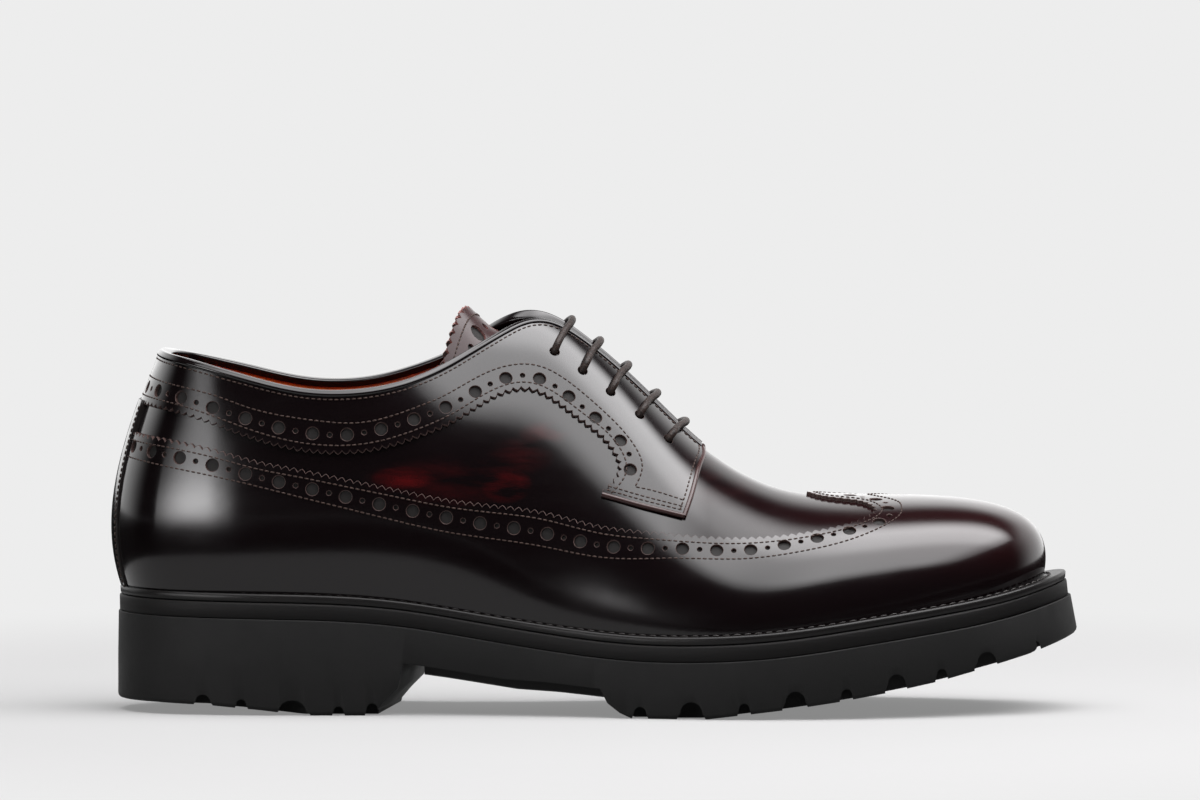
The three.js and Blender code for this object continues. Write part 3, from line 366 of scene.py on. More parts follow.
def node(tree, kind, links=None, **settings):
    """Adds a node to a material: settings are its own switches, links its sockets' values or what feeds them."""
    made = tree.nodes.new(kind)
    for name, value in settings.items():
        setattr(made, name, value)
    for socket, value in (links or {}).items():
        if isinstance(value, bpy.types.NodeSocket):
            tree.links.new(value, made.inputs[socket])
        else:
            made.inputs[socket].default_value = value
    return made


def colour(hex_code):
    """An sRGB hex colour as linear red, green, blue and alpha."""
    parts = [int(hex_code[i:i + 2], 16) / 255 for i in (1, 3, 5)]
    return tuple(p / 12.92 if p <= 0.04045 else ((p + 0.055) / 1.055) ** 2.4 for p in parts) + (1.0,)


def new_material(name):
    """An empty node material with its output node."""
    material = bpy.data.materials.new(name)
    material.use_nodes = True
    tree = material.node_tree
    tree.nodes.clear()
    return material, tree, node(tree, "ShaderNodeOutputMaterial")


# %% [markdown]
# ## Brush-off polished calf
# The upper is cow leather with a red base coat and a nearly black top coat. The factory then buffs the top coat
# away in places, so deep red shows through, and waxes the whole to a high gloss. A clear hard layer over a coloured
# one is what the Principled shader's coat is for. The red is placed where the photograph shows it, and the
# pores are a fine noise in the bump: about 0.25 mm apart on calf, drawn at 0.5 mm so that they show at all.
#
# One function makes four finishes of it. In the photograph the vamp shines less than the wing beside it, so its coat
# fades out between two lines across the shoe. The thin strip rolled over the tab's edge is browner and duller, and
# the tongue, which nobody polishes, is the dullest and reddest.

# %% Material: brush-off calf
BUFFED = [
    # x, z in mm from the middle of the sole, half length, half height, strength
    (-61, 76, 9, 3.2, 0.42), (-29, 74, 7, 5, 0.36), (-47, 75, 22, 7, 0.10), (-24, 83, 9, 5, 0.12),
    (-16, 90, 7, 3.5, 0.35), (39, 75, 14, 9, 0.04),
]


TOP_COAT, BASE_COAT = "#080405", "#5a0a0c"
PORE_MM, SWELL_MM = 0.5, 9.0          # from pore to pore as drawn, and from one soft swell of the hide to the next
TOE_RED = 0.055                       # how much red the toe shows at its tip
VAMP_START, VAMP_FULL = 0.022, 0.036  # x in metres, where the coat starts to fade and where it has faded


def brush_off_calf(name, top_coat, gloss, shine, vamp_shine=None):
    """Dyed, buffed and waxed calf: gloss is the roughness of the dye, shine the weight of the wax over it."""
    material, tree, output = new_material(name)
    place = node(tree, "ShaderNodeTexCoord").outputs["Object"]
    split = node(tree, "ShaderNodeSeparateXYZ", {"Vector": place})
    strokes = node(tree, "ShaderNodeMapping", {"Vector": place, "Rotation": (0.0, 0.35, 0.0),
                                               "Scale": (0.45, 0.45, 1.6)})
    clouds = node(tree, "ShaderNodeTexNoise", {"Vector": strokes.outputs[0], "Scale": 130.0, "Detail": 5.0,
                                               "Roughness": 0.6})
    buffed = 0.0
    for x, z, long, high, strength in BUFFED:
        squares = []
        for axis, middle, half in (("X", x, long), ("Z", z, high)):
            away = node(tree, "ShaderNodeMath", {0: split.outputs[axis], 1: -middle * MM}, operation="ADD")
            away = node(tree, "ShaderNodeMath", {0: away.outputs[0], 1: 1 / (half * MM)}, operation="MULTIPLY")
            squares.append(node(tree, "ShaderNodeMath", {0: away.outputs[0], 1: 2.0}, operation="POWER").outputs[0])
        far = node(tree, "ShaderNodeMath", {0: squares[0], 1: squares[1]}, operation="ADD")
        spot = node(tree, "ShaderNodeMapRange", {"Value": far.outputs[0], "From Min": 0.0, "From Max": 1.6,
                                                 "To Min": strength, "To Max": 0.0})
        buffed = node(tree, "ShaderNodeMath", {0: buffed, 1: spot.outputs[0]}, operation="MAXIMUM").outputs[0]
    patchy = node(tree, "ShaderNodeMapRange", {"Value": clouds.outputs["Fac"], "From Min": 0.38, "From Max": 0.66})
    shown = node(tree, "ShaderNodeMath", {0: buffed, 1: patchy.outputs[0]}, operation="MULTIPLY")
    toe = node(tree, "ShaderNodeMapRange", {"Value": split.outputs["X"], "From Min": 0.01, "From Max": 0.13,
                                            "To Min": 0.0, "To Max": TOE_RED})
    high = node(tree, "ShaderNodeMapRange", {"Value": split.outputs["Z"], "From Min": 0.040, "From Max": 0.062},
                interpolation_type="SMOOTHSTEP")
    toe = node(tree, "ShaderNodeMath", {0: toe.outputs[0], 1: high.outputs[0]}, operation="MULTIPLY")
    shown = node(tree, "ShaderNodeMath", {0: shown.outputs[0], 1: toe.outputs[0]}, operation="ADD", use_clamp=True)
    body = node(tree, "ShaderNodeMix", {"Factor": shown.outputs[0], "A": colour(top_coat), "B": colour(BASE_COAT)},
                data_type="RGBA")
    pores = node(tree, "ShaderNodeTexNoise", {"Vector": place, "Scale": 1 / (PORE_MM * MM), "Detail": 2.0})
    swells = node(tree, "ShaderNodeTexNoise", {"Vector": place, "Scale": 1 / (SWELL_MM * MM), "Detail": 1.0})
    fine = node(tree, "ShaderNodeBump", {"Height": pores.outputs["Fac"], "Strength": 0.04, "Distance": 0.1 * MM})
    wavy = node(tree, "ShaderNodeBump", {"Height": swells.outputs["Fac"], "Strength": 0.12, "Distance": 0.35 * MM,
                                         "Normal": fine.outputs[0]})
    worn = node(tree, "ShaderNodeMapRange", {"Value": clouds.outputs["Fac"], "From Min": 0.3, "From Max": 0.7,
                                             "To Min": gloss - 0.03, "To Max": gloss + 0.04})
    coat = shine
    if vamp_shine is not None:
        coat = node(tree, "ShaderNodeMapRange", {"Value": split.outputs["X"], "From Min": VAMP_START,
                                                 "From Max": VAMP_FULL, "To Min": shine,
                                                 "To Max": vamp_shine}).outputs[0]
    shader = node(tree, "ShaderNodeBsdfPrincipled", {
        "Base Color": body.outputs["Result"], "Roughness": worn.outputs[0], "IOR": 1.38, "Specular IOR Level": 0.22,
        "Coat Weight": coat, "Coat Roughness": 0.12, "Coat IOR": 1.45, "Normal": wavy.outputs[0]})
    tree.links.new(shader.outputs[0], output.inputs["Surface"])
    return material


calf = brush_off_calf("brush_off_calf", TOP_COAT, 0.16, 0.52)
vamp_calf = brush_off_calf("brush_off_calf_softer_on_the_vamp", TOP_COAT, 0.16, 0.52, vamp_shine=0.06)
bead_calf = brush_off_calf("rolled_calf", "#2c1b1a", 0.26, 0.3)
tongue_calf = brush_off_calf("tongue_calf", "#241011", 0.32, 0.2)
print("materials", calf.name, vamp_calf.name, bead_calf.name, tongue_calf.name)

# %% [markdown]
# Where leather is cut, its inside shows: a suede-like brown, here half stained by the edge dye. It has no coat
# and scatters light, so it looks paler than the glossy face next to it. The tongue's edge is left raw and is the
# palest, the strip at the heel is dyed black to its edge, and the backing under the holes is black on its flesh
# side. Tan lining calf and waxed thread are matt fibre too, so the same function makes them.
#
# The other plain finishes of the shoe, from lace to rubber, differ in their pattern alone. So a second function
# ends each of them: two colours and a relief that follow a pattern, on one shader.

# %% Material: cut edges, backing, lining and thread
def two_toned(tree, output, tones, low, high, relief, strength, depth_mm, surface):
    """Ends a material: tones mixes the colours low and high, relief raises the surface, surface sets the shader."""
    body = node(tree, "ShaderNodeMix", {"Factor": tones, "A": colour(low), "B": colour(high)}, data_type="RGBA")
    bump = node(tree, "ShaderNodeBump", {"Height": relief, "Strength": strength, "Distance": depth_mm * MM})
    shader = node(tree, "ShaderNodeBsdfPrincipled", {
        "Base Color": body.outputs["Result"], "IOR": 1.45, "Normal": bump.outputs[0], **surface})
    tree.links.new(shader.outputs[0], output.inputs["Surface"])


def matt_leather(name, light, dark, rough, grain_mm, shine=0.5):
    """Leather or thread without wax: fibres grain_mm apart, lighter where they stand up."""
    material, tree, output = new_material(name)
    place = node(tree, "ShaderNodeTexCoord").outputs["Object"]
    fibre = node(tree, "ShaderNodeTexNoise", {"Vector": place, "Scale": 1 / (grain_mm * MM),
                                              "Detail": 4.0}).outputs["Fac"]
    two_toned(tree, output, fibre, dark, light, fibre, 0.35, 0.15, {"Roughness": rough, "Specular IOR Level": shine})
    return material


cut_edge = matt_leather("cut_edge_of_calf", "#4a3834", "#1e1413", 0.55, 0.8, 0.25)
raw_edge = matt_leather("raw_tongue_edge", "#8a625e", "#553735", 0.6, 0.8, 0.25)
dyed_edge = matt_leather("black_dyed_edge", "#1c1716", "#0e0b0b", 0.4, 0.8, 0.3)
backing = matt_leather("dyed_backing_leather", "#1a1716", "#0b0a0a", 0.6, 0.7, 0.2)
lining_calf = matt_leather("tan_lining_calf", "#c0601f", "#9a4513", 0.5, 1.2)
thread = matt_leather("waxed_brown_thread", "#38261f", "#1a100d", 0.55, 0.5, 0.25)
print("materials", cut_edge.name, raw_edge.name, dyed_edge.name, backing.name, lining_calf.name, thread.name)

# %% [markdown]
# ## The base leather and the lining
# Vamp and quarters make one smooth skin under the overlays. A grid of along and up covers it: the rows stop at the
# top line and the facings' edge, and run on to the ridge over the toes. The inside is the same grid, one wall
# thickness inwards, in tan lining calf.

# %% Lines of the upper
THROAT = 0.606         # along, where the opening ends and the vamp is closed over the toes
TOPLINE = [
    # along, up on the outer side, up on the inner side
    (0.00, 0.893, 0.893), (0.05, 0.890, 0.891), (0.104, 0.876, 0.873), (0.164, 0.828, 0.832),
    (0.221, 0.780, 0.785), (0.278, 0.771, 0.778), (0.333, 0.797, 0.812), (0.381, 0.835, 0.856),
    (0.411, 0.862, 0.905), (0.435, 0.889, 0.937), (0.470, 0.905, 0.940), (0.545, 0.907, 0.925),
    (0.606, 0.916, 0.925), (0.800, 0.916, 0.925), (1.000, 0.916, 0.925),
]
topline = {
    -1: spline(column(TOPLINE, 0), column(TOPLINE, 1)),
    1: spline(column(TOPLINE, 0), column(TOPLINE, 2)),
}


def grid_faces(rows, columns):
    """Quads between rows and columns of points."""
    i, j = np.meshgrid(np.arange(rows - 1), np.arange(columns - 1), indexing="ij")
    a = (i * columns + j).ravel()
    return np.stack([a, a + columns, a + columns + 1, a + 1], -1)


def weld(points, faces, normals=None):
    """Makes points on the same spot one, and drops faces that lose their area."""
    keys = np.round(points * 200).astype(np.int64)
    _, first, number = np.unique(keys, axis=0, return_index=True, return_inverse=True)
    number = number.ravel()
    made = []
    for face in faces:
        ring = []
        for corner in number[np.asarray(face)]:
            if not ring or corner != ring[-1]:
                ring.append(corner)
        if len(ring) > 1 and ring[0] == ring[-1]:
            ring.pop()
        if len(ring) >= 3 and len(set(ring)) == len(ring):
            made.append(ring)
    if normals is None:
        return points[first], made
    return points[first], made, normals[first]


SKIN_ROWS, RIDGE_ROWS = 44, 8      # points of the grid from the welt to the facing's height, and on to the ridge


def shell(off):
    """The upper's skin on both sides at a distance off, with directions."""
    all_points, all_faces, all_normals = [], [], []
    base = 0
    share = np.linspace(0, 1, SKIN_ROWS)[None, :]
    back_part = np.linspace(0, THROAT, 112)
    front_part = np.linspace(THROAT, 1, 90)
    for side in (-1, 1):
        for t_list, whole in ((back_part, False), (front_part, True)):
            t = t_list[:, None]
            v = share * topline[side](t)
            if whole:
                mark = topline[side](THROAT)
                high = mark + (1 - mark) * np.linspace(0, 1, RIDGE_ROWS)[None, 1:]
                v = np.broadcast_to(np.hstack([share * mark, high]), (len(t_list), SKIN_ROWS + RIDGE_ROWS - 1))
            t = np.broadcast_to(t, v.shape)
            points = skin(side, t, v, off)
            faces = grid_faces(*v.shape) + base
            if side > 0:
                faces = faces[:, ::-1]
            all_points.append(points.reshape(-1, 3))
            all_normals.append(skin_normal(side, t, v).reshape(-1, 3))
            all_faces.append(faces)
            base += v.size
    return weld(np.vstack(all_points), np.vstack(all_faces), np.vstack(all_normals))


def loop_normals(faces, normals):
    """Directions listed corner by corner, as Blender wants them."""
    return normals[np.concatenate([np.asarray(f) for f in faces])]


# %% Base leather and lining
points, faces, normals = shell(0.15)
upper_leather = add_piece("upper_leather", points, faces, [vamp_calf], ["upper"],
                          normals=loop_normals(faces, normals))
points, faces, normals = shell(-WALL + 0.2)
faces = [f[::-1] for f in faces]
add_piece("upper_lining", points, faces, [lining_calf], ["upper"], normals=-loop_normals(faces, normals))
print("upper", len(upper_leather.data.polygons), "faces")

# %% [markdown]
# ## Cutting panels: zigzag edges and punched holes
# On the real shoe a panel is cut flat, its edge is gimped with a zigzag blade and its holes are punched before it
# is sewn on. The same order works here. The panel is drawn flat, in along and up, with its zigzag outline and its
# holes. A constrained Delaunay triangulation fills the flat drawing with triangles, and each point is then laid on
# the foot shape. The walls round the outline and the holes get the cut-edge material.

# %% Helpers: lines laid on the foot shape
FLAT = np.array([330.0, 100.0])   # millimetres of one unit of along and of up, nearly


def frame_at(side, t, v):
    """Steps along and up, and the outward direction, at spots of the foot shape."""
    e = 0.002
    step_t = (skin_raw(side, t + e, v) - skin_raw(side, t - e, v)) / (2 * e)
    step_v = (skin_raw(side, t, v + e) - skin_raw(side, t, v - e)) / (2 * e)
    return step_t, step_v, skin_normal(side, t, v)


def moved(side, spots, direction):
    """Spots moved by small 3-D vectors that lie in the surface."""
    step_t, step_v, _ = frame_at(side, spots[:, 0], spots[:, 1])
    a = (step_t * step_t).sum(-1)
    b = (step_t * step_v).sum(-1)
    c = (step_v * step_v).sum(-1)
    p = (step_t * direction).sum(-1)
    q = (step_v * direction).sum(-1)
    det = a * c - b * b
    return spots + np.stack([(c * p - b * q) / det, (a * q - b * p) / det], -1)


def run_of(side, spots):
    """Distance in millimetres from the first spot, along the line."""
    return run_along(skin_raw(side, spots[:, 0], spots[:, 1]))


def smooth_line(knots, count=400):
    """A smooth line through spots, as many close spots."""
    knots = np.array(knots, float)
    run = run_along(knots * FLAT)
    fine = np.linspace(0, run[-1], count)
    return np.stack([spline(run, knots[:, 0])(fine), spline(run, knots[:, 1])(fine)], -1)


def evenly(side, line, pitch, whole=1):
    """Spots at equal steps of about pitch millimetres; the number of steps is a multiple of whole."""
    run = run_of(side, line)
    count = max(1, round(run[-1] / pitch / whole)) * whole
    return read_line(line, run, np.linspace(0, run[-1], count + 1))


def beside(side, line, distance):
    """The line moved to its left by distance millimetres; left is up for a line that runs to the toe."""
    points = skin_raw(side, line[:, 0], line[:, 1])
    way = unit(np.gradient(points, axis=0))
    _, _, out = frame_at(side, line[:, 0], line[:, 1])
    left = unit(np.cross(out, way)) * -side
    return moved(side, line, left * np.reshape(distance, (-1, 1)))


TOOTH = 2.6          # millimetres from tooth to tooth of the gimped edges
TOOTH_DEPTH = 1.25
TOOTH_FORM = [0.0, 0.62, 1.0, 0.62]     # height of one tooth at even steps: a triangle with a slightly blunt tip


def teeth(count):
    """Heights of count points along a gimped edge, from half a tooth below its line to half a tooth above."""
    return np.array(TOOTH_FORM)[np.arange(count) % len(TOOTH_FORM)] - 0.5


def gimped(side, line, outward):
    """A zigzag along a line; outward is 1 if the teeth point left, -1 right."""
    spots = evenly(side, line, TOOTH / len(TOOTH_FORM), len(TOOTH_FORM))
    return beside(side, spots, outward * teeth(len(spots)) * TOOTH_DEPTH)


def circles(side, centres, radius, corners):
    """Round holes laid on the foot shape: a list of rings of spots."""
    step_t, _, out = frame_at(side, centres[:, 0], centres[:, 1])
    way = unit(step_t)
    left = np.cross(out, way)
    rings = []
    for k in range(corners):
        angle = 2 * math.pi * k / corners
        rings.append(moved(side, centres, radius * (way * math.cos(angle) + left * math.sin(angle))))
    return list(np.stack(rings, 1))


# %% Helpers: a flat drawing to a cut panel
def inside(polygon, spots):
    """Which spots lie inside a polygon."""
    x, y = spots[:, 0], spots[:, 1]
    hit = np.zeros(len(spots), bool)
    ends = np.roll(polygon, -1, axis=0)
    for (ax, ay), (bx, by) in zip(polygon, ends):
        if ay == by:
            continue
        crosses = (ay > y) != (by > y)
        hit ^= crosses & (x < (bx - ax) * (y - ay) / (by - ay) + ax)
    return hit


def fill(outline, holes, spacing, metric, rows):
    """Triangles that fill a flat outline round its holes; rows(v) is how long the row at v is in millimetres."""
    low, high = outline.min(0), outline.max(0)
    lattice = []
    count = int(np.ceil((high[1] - low[1]) * metric[1] / spacing))
    for r, v in enumerate(np.linspace(low[1], high[1], count + 2)[1:-1]):
        width = rows(v)
        n = max(2, int((high[0] - low[0]) * width / spacing))
        t = low[0] + (high[0] - low[0]) * (np.arange(n) + 0.5 * (r % 2)) / n
        lattice.append(np.stack([t, np.full(n, v)], -1))
    lattice = np.vstack(lattice)
    lattice = lattice[inside(outline, lattice)]
    rings = [outline] + holes
    rim = np.vstack(rings)
    keep = np.ones(len(lattice), bool)
    for chunk in range(0, len(lattice), 500):
        part = lattice[chunk:chunk + 500]
        apart = np.linalg.norm((part[:, None] - rim[None]) * metric, axis=-1).min(1)
        keep[chunk:chunk + 500] = apart > spacing * 0.42
    lattice = lattice[keep]
    for hole in holes:
        near = np.linalg.norm((lattice - hole.mean(0)) * metric, axis=-1) < spacing * 2
        near[near] = inside(hole, lattice[near])
        lattice = lattice[~near]
    spots = np.vstack([rim, lattice])
    edges = []
    start = 0
    for ring in rings:
        n = len(ring)
        edges += [(start + k, start + (k + 1) % n) for k in range(n)]
        start += n
    flat = [Vector(p) for p in (spots * metric).tolist()]
    out_points, _, out_faces, *_ = delaunay_2d_cdt(flat, edges, [], 1, 1e-5)
    made = np.array([tuple(p) for p in out_points]) / metric
    triangles = np.array([f for f in out_faces if len(f) == 3])
    middles = made[triangles].mean(1)
    gone = ~inside(outline, middles)
    for hole in holes:
        near = np.linalg.norm((middles - hole.mean(0)) * metric, axis=-1) < 8
        near[near] = inside(hole, middles[near])
        gone |= near
    return made, triangles[~gone]


BEVEL = 0.22         # millimetres, rounding of a cut edge
EDGE_ROUND = 0.8     # how far that rounding starts outwards, as a share of it


def row_length(v):
    """Length in millimetres of one unit along, which grows less from half way up to the ridge."""
    return FLAT[0] * (1 - 0.45 * max(0.0, v - 0.5))


def facing_out(points, normals, triangles):
    """The triangles turned to face outwards, and their rim: the edges that belong to one triangle only."""
    a, b, c = (points[triangles[:, k]] for k in range(3))
    wrong = (np.cross(b - a, c - a) * normals[triangles[:, 0]]).sum(-1) < 0
    triangles[wrong] = triangles[wrong][:, ::-1]
    count = len(points)
    pairs = np.vstack([triangles[:, [0, 1]], triangles[:, [1, 2]], triangles[:, [2, 0]]])
    alone = ~np.isin(pairs[:, 0] * count + pairs[:, 1], pairs[:, 1] * count + pairs[:, 0])
    return triangles, pairs[alone]


def cut_panel(name, drawings, inner, outer, nodes, edge=cut_edge):
    """A panel from flat drawings [(side, outline, holes, spacing)], laid between two distances from the shape."""
    tops, lows, normals, triangles = [], [], [], []
    base = 0
    for side, outline, holes, spacing in drawings:
        spots, found = fill(outline, holes, spacing, FLAT, row_length)
        point = skin_raw(side, spots[:, 0], spots[:, 1])
        normal = skin_normal(side, spots[:, 0], spots[:, 1])
        tops.append(point + normal * outer)
        lows.append(point + normal * inner)
        normals.append(normal)
        flip = found[:, ::-1] if side > 0 else found
        triangles.append(flip + base)
        base += len(spots)
    top = np.vstack(tops)
    low = np.vstack(lows)
    normal = np.vstack(normals)
    triangle = np.vstack(triangles)
    keys = np.round(top * 100).astype(np.int64)
    _, first, number = np.unique(keys, axis=0, return_index=True, return_inverse=True)
    number = number.ravel()
    top, low, normal = top[first], low[first], normal[first]
    triangle = number[triangle]
    distinct = (triangle[:, 0] != triangle[:, 1]) & (triangle[:, 1] != triangle[:, 2])
    distinct &= triangle[:, 0] != triangle[:, 2]
    triangle, rim = facing_out(top, normal, triangle[distinct])
    count = len(top)
    outward = np.zeros_like(top)
    way = top[rim[:, 1]] - top[rim[:, 0]]
    for end in (0, 1):
        np.add.at(outward, rim[:, end], unit(np.cross(way, normal[rim[:, end]])))
    outward = unit(outward)
    ring = np.unique(rim)
    index = np.full(count, -1)
    index[ring] = np.arange(len(ring))
    shoulder = top[ring] - normal[ring] * BEVEL + outward[ring] * BEVEL * EDGE_ROUND
    foot = low[ring] + outward[ring] * BEVEL
    points = np.vstack([top, shoulder, foot, low])
    s0, f0, l0 = count, count + len(ring), count + 2 * len(ring)
    a, b = rim[:, 0], rim[:, 1]
    ia, ib = index[a], index[b]
    bevel = np.stack([b, a, s0 + ia, s0 + ib], -1)
    wall = np.stack([s0 + ib, s0 + ia, f0 + ia, f0 + ib], -1)
    under = np.stack([f0 + ib, f0 + ia, l0 + a, l0 + b], -1)
    faces = triangle.tolist() + bevel.tolist() + wall.tolist() + under.tolist() + (triangle[:, ::-1] + l0).tolist()
    kinds = np.r_[np.zeros(len(triangle)), np.ones(len(faces) - len(triangle))]
    corner = np.vstack([
        normal[triangle.ravel()],
        np.stack([normal[b], normal[a], outward[a], outward[b]], 1).reshape(-1, 3),
        np.stack([outward[b], outward[a], outward[a], outward[b]], 1).reshape(-1, 3),
        np.stack([-normal[b], -normal[a], -normal[a], -normal[b]], 1).reshape(-1, 3),
        -normal[triangle[:, ::-1].ravel()],
    ])
    add_piece(name, points, faces, [calf, edge], nodes, kinds, corner)
    print(name, len(faces), "faces,", len(rim), "rim edges")


# %% [markdown]
# ## The long wing
# A longwing's toe cap runs back along both sides to the heel. Its upper edge is gimped, and it peaks in a point
# over the toes. Large and small holes alternate along it, 11 mm from one large hole to the next.

# %% Lines of the wing
WING_PEAK = 0.7095     # along, the point of the wing over the toes
WING_EDGE = [
    # along, up, from the heel to the lobe beside the toe and back to the peak on the ridge
    (0.024, 0.646), (0.060, 0.640), (0.091, 0.631), (0.136, 0.601), (0.172, 0.562), (0.215, 0.522),
    (0.258, 0.482), (0.308, 0.439), (0.358, 0.390), (0.398, 0.352), (0.455, 0.318), (0.507, 0.316),
    (0.560, 0.356), (0.605, 0.410), (0.642, 0.462), (0.679, 0.507), (0.712, 0.540), (0.741, 0.574),
    (0.764, 0.630), (0.776, 0.712), (0.772, 0.779), (0.760, 0.845), (0.740, 0.885), (0.722, 0.925),
    (WING_PEAK, 1.000),
]
WING_HOLES = [
    (0.020, 0.607), (0.046, 0.602), (0.082, 0.588), (0.114, 0.570), (0.146, 0.541), (0.180, 0.504),
    (0.215, 0.468), (0.251, 0.431), (0.286, 0.399), (0.320, 0.371), (0.356, 0.339), (0.393, 0.305),
    (0.450, 0.272), (0.508, 0.270), (0.560, 0.310), (0.608, 0.366), (0.641, 0.405), (0.676, 0.449),
    (0.709, 0.488), (0.742, 0.525), (0.772, 0.580), (0.788, 0.640), (0.788, 0.709), (0.783, 0.831),
    (0.762, 0.910), (0.748, 0.965), (0.742, 1.000),
]
WING_STITCH = [
    (0.000, 0.570), (0.032, 0.566), (0.084, 0.548), (0.136, 0.514), (0.185, 0.464), (0.234, 0.408),
    (0.284, 0.357), (0.334, 0.311), (0.398, 0.262), (0.450, 0.238), (0.508, 0.238), (0.560, 0.278),
    (0.605, 0.328), (0.654, 0.381), (0.704, 0.425), (0.744, 0.462), (0.779, 0.546), (0.799, 0.655),
    (0.802, 0.751), (0.795, 0.850), (0.780, 0.930), (0.768, 1.000),
]
WELT_LINE = 0.012      # up, where the wing goes under the welt's edge
HOLE_PITCH = 11.0
BIG_HOLE = 2.0         # radius
SMALL_HOLE = 0.75


def punched(side, line, keep):
    """Rings of the holes along a line, and the centres of the large and the small ones that keep(spots) keeps."""
    fine = smooth_line(line)
    run = run_of(side, fine)
    count = round(run[-1] / HOLE_PITCH)
    step = run[-1] / count
    small = np.arange(count + 1) * step
    small = read_line(fine, run, small[(small > 1) & (small < run[-1] - 1)])
    big = read_line(fine, run, (np.arange(count) + 0.5) * step)
    big, small = big[keep(big)], small[keep(small)]
    rings = circles(side, big, BIG_HOLE + BEVEL, 16) + circles(side, small, SMALL_HOLE + BEVEL, 8)
    return rings, big, small


# %% The wing
WING_BACK, WING_BACK_TOP = 0.020, 0.6465     # along and up, its rear end under the heel's strip
PANEL_LOW, PANEL_TOP = 0.1, GAP + OVERLAY    # millimetres from the foot shape to a panel's two faces
WING_SPACING, BAND_SPACING = 3.2, 3.0        # millimetres between the points that fill a panel


def wing_drawing(side):
    """Outline and holes of one half of the wing."""
    upper_edge = gimped(side, smooth_line([(WING_BACK, WING_BACK_TOP)] + WING_EDGE[1:]), 1)
    upper_edge[0, 0] = WING_BACK
    upper_edge[-1] = (WING_PEAK, 1.0)
    upper_edge[:, 1] = np.minimum(upper_edge[:, 1], 1.0)
    ridge = [(t, 1.0) for t in np.linspace(WING_PEAK, TOE_TURN, 34)[1:]]
    nose = [(1.0, v) for v in np.linspace(1.0, WELT_LINE, 34)]
    lower = [(t, WELT_LINE) for t in np.linspace(1.0, WING_BACK, 110)[1:]]
    rear = [(WING_BACK, v) for v in np.linspace(WELT_LINE, upper_edge[0, 1], 24)[1:-1]]
    outline = np.vstack([upper_edge, ridge, nose, lower, rear])
    clear = lambda spots: (spots[:, 0] > 0.028) & (spots[:, 1] < 0.985)    # of the heel's strip and the ridge
    rings, big, small = punched(side, WING_HOLES, clear)
    return outline, rings, big, small


hole_backs = {-1: [], 1: []}
drawings = []
for side in (-1, 1):
    outline, rings, big, small = wing_drawing(side)
    drawings.append((side, outline, rings, WING_SPACING))
    hole_backs[side] += [big, small]
cut_panel("wing_cap_leather", drawings, PANEL_LOW, PANEL_TOP, ["wing_cap"])

# %% [markdown]
# ## The collar band and the facings
# One overlay runs round the collar, widens into the lace facing and ends in a square tab low on the vamp. Only its
# lower and rear edges are gimped. The tab's lower and front edges are folded, so they stay plain.

# %% Lines of the band
BAND_EDGE = [
    (0.000, 0.752), (0.060, 0.744), (0.108, 0.721), (0.159, 0.660), (0.209, 0.602), (0.258, 0.578),
    (0.296, 0.588), (0.333, 0.614), (0.371, 0.638), (0.401, 0.656), (0.431, 0.650), (0.462, 0.612),
    (0.491, 0.580), (0.516, 0.556), (0.5265, 0.512), (0.521, 0.455), (0.509, 0.405),
]
TAB_LOW = [(0.509, 0.402), (0.546, 0.422), (0.589, 0.461)]
TAB_FRONT = [(0.589, 0.461), (0.595, 0.550), (0.600, 0.660), (0.604, 0.760), (0.607, 0.850), (THROAT, 0.916)]
BAND_HOLES = [
    (0.000, 0.797), (0.032, 0.792), (0.086, 0.779), (0.121, 0.753), (0.153, 0.719), (0.186, 0.681),
    (0.220, 0.651), (0.258, 0.635), (0.292, 0.646), (0.328, 0.668), (0.361, 0.684), (0.392, 0.697),
    (0.425, 0.692), (0.458, 0.655), (0.486, 0.622), (0.514, 0.600), (0.534, 0.565), (0.5365, 0.525),
    (0.533, 0.484), (0.528, 0.462),
]
BAND_STITCH = [
    (0.000, 0.826), (0.035, 0.822), (0.089, 0.808), (0.135, 0.778), (0.164, 0.742), (0.199, 0.708),
    (0.234, 0.684), (0.268, 0.671), (0.296, 0.680), (0.321, 0.698), (0.358, 0.722), (0.395, 0.740),
    (0.431, 0.724), (0.469, 0.684), (0.510, 0.645), (0.536, 0.610), (0.547, 0.565), (0.546, 0.515),
    (0.541, 0.470),
]
LACE_HOLE = 1.55       # radius
TAB_STEP = 1.5         # millimetres between the points of the tab's smooth edges
LACE_HOLES = [
    # along, up on the outer side, up on the inner side
    (0.462, 0.765, 0.752), (0.489, 0.742, 0.722), (0.516, 0.734, 0.712), (0.544, 0.736, 0.708),
    (0.572, 0.739, 0.705),
]


def top_edge(side, start, finish, count):
    """Spots along the top line, from one share along to another."""
    t = np.linspace(start, finish, count)
    return np.stack([t, topline[side](t)], -1)


def corner_cut(a, b, c):
    """A rounded corner at b from the spot a to the spot c."""
    a, b, c = (np.array(p, float) for p in (a, b, c))
    w = np.linspace(0, 1, 6)[1:-1, None]
    return (1 - w) ** 2 * a + 2 * w * (1 - w) * b + w * w * c


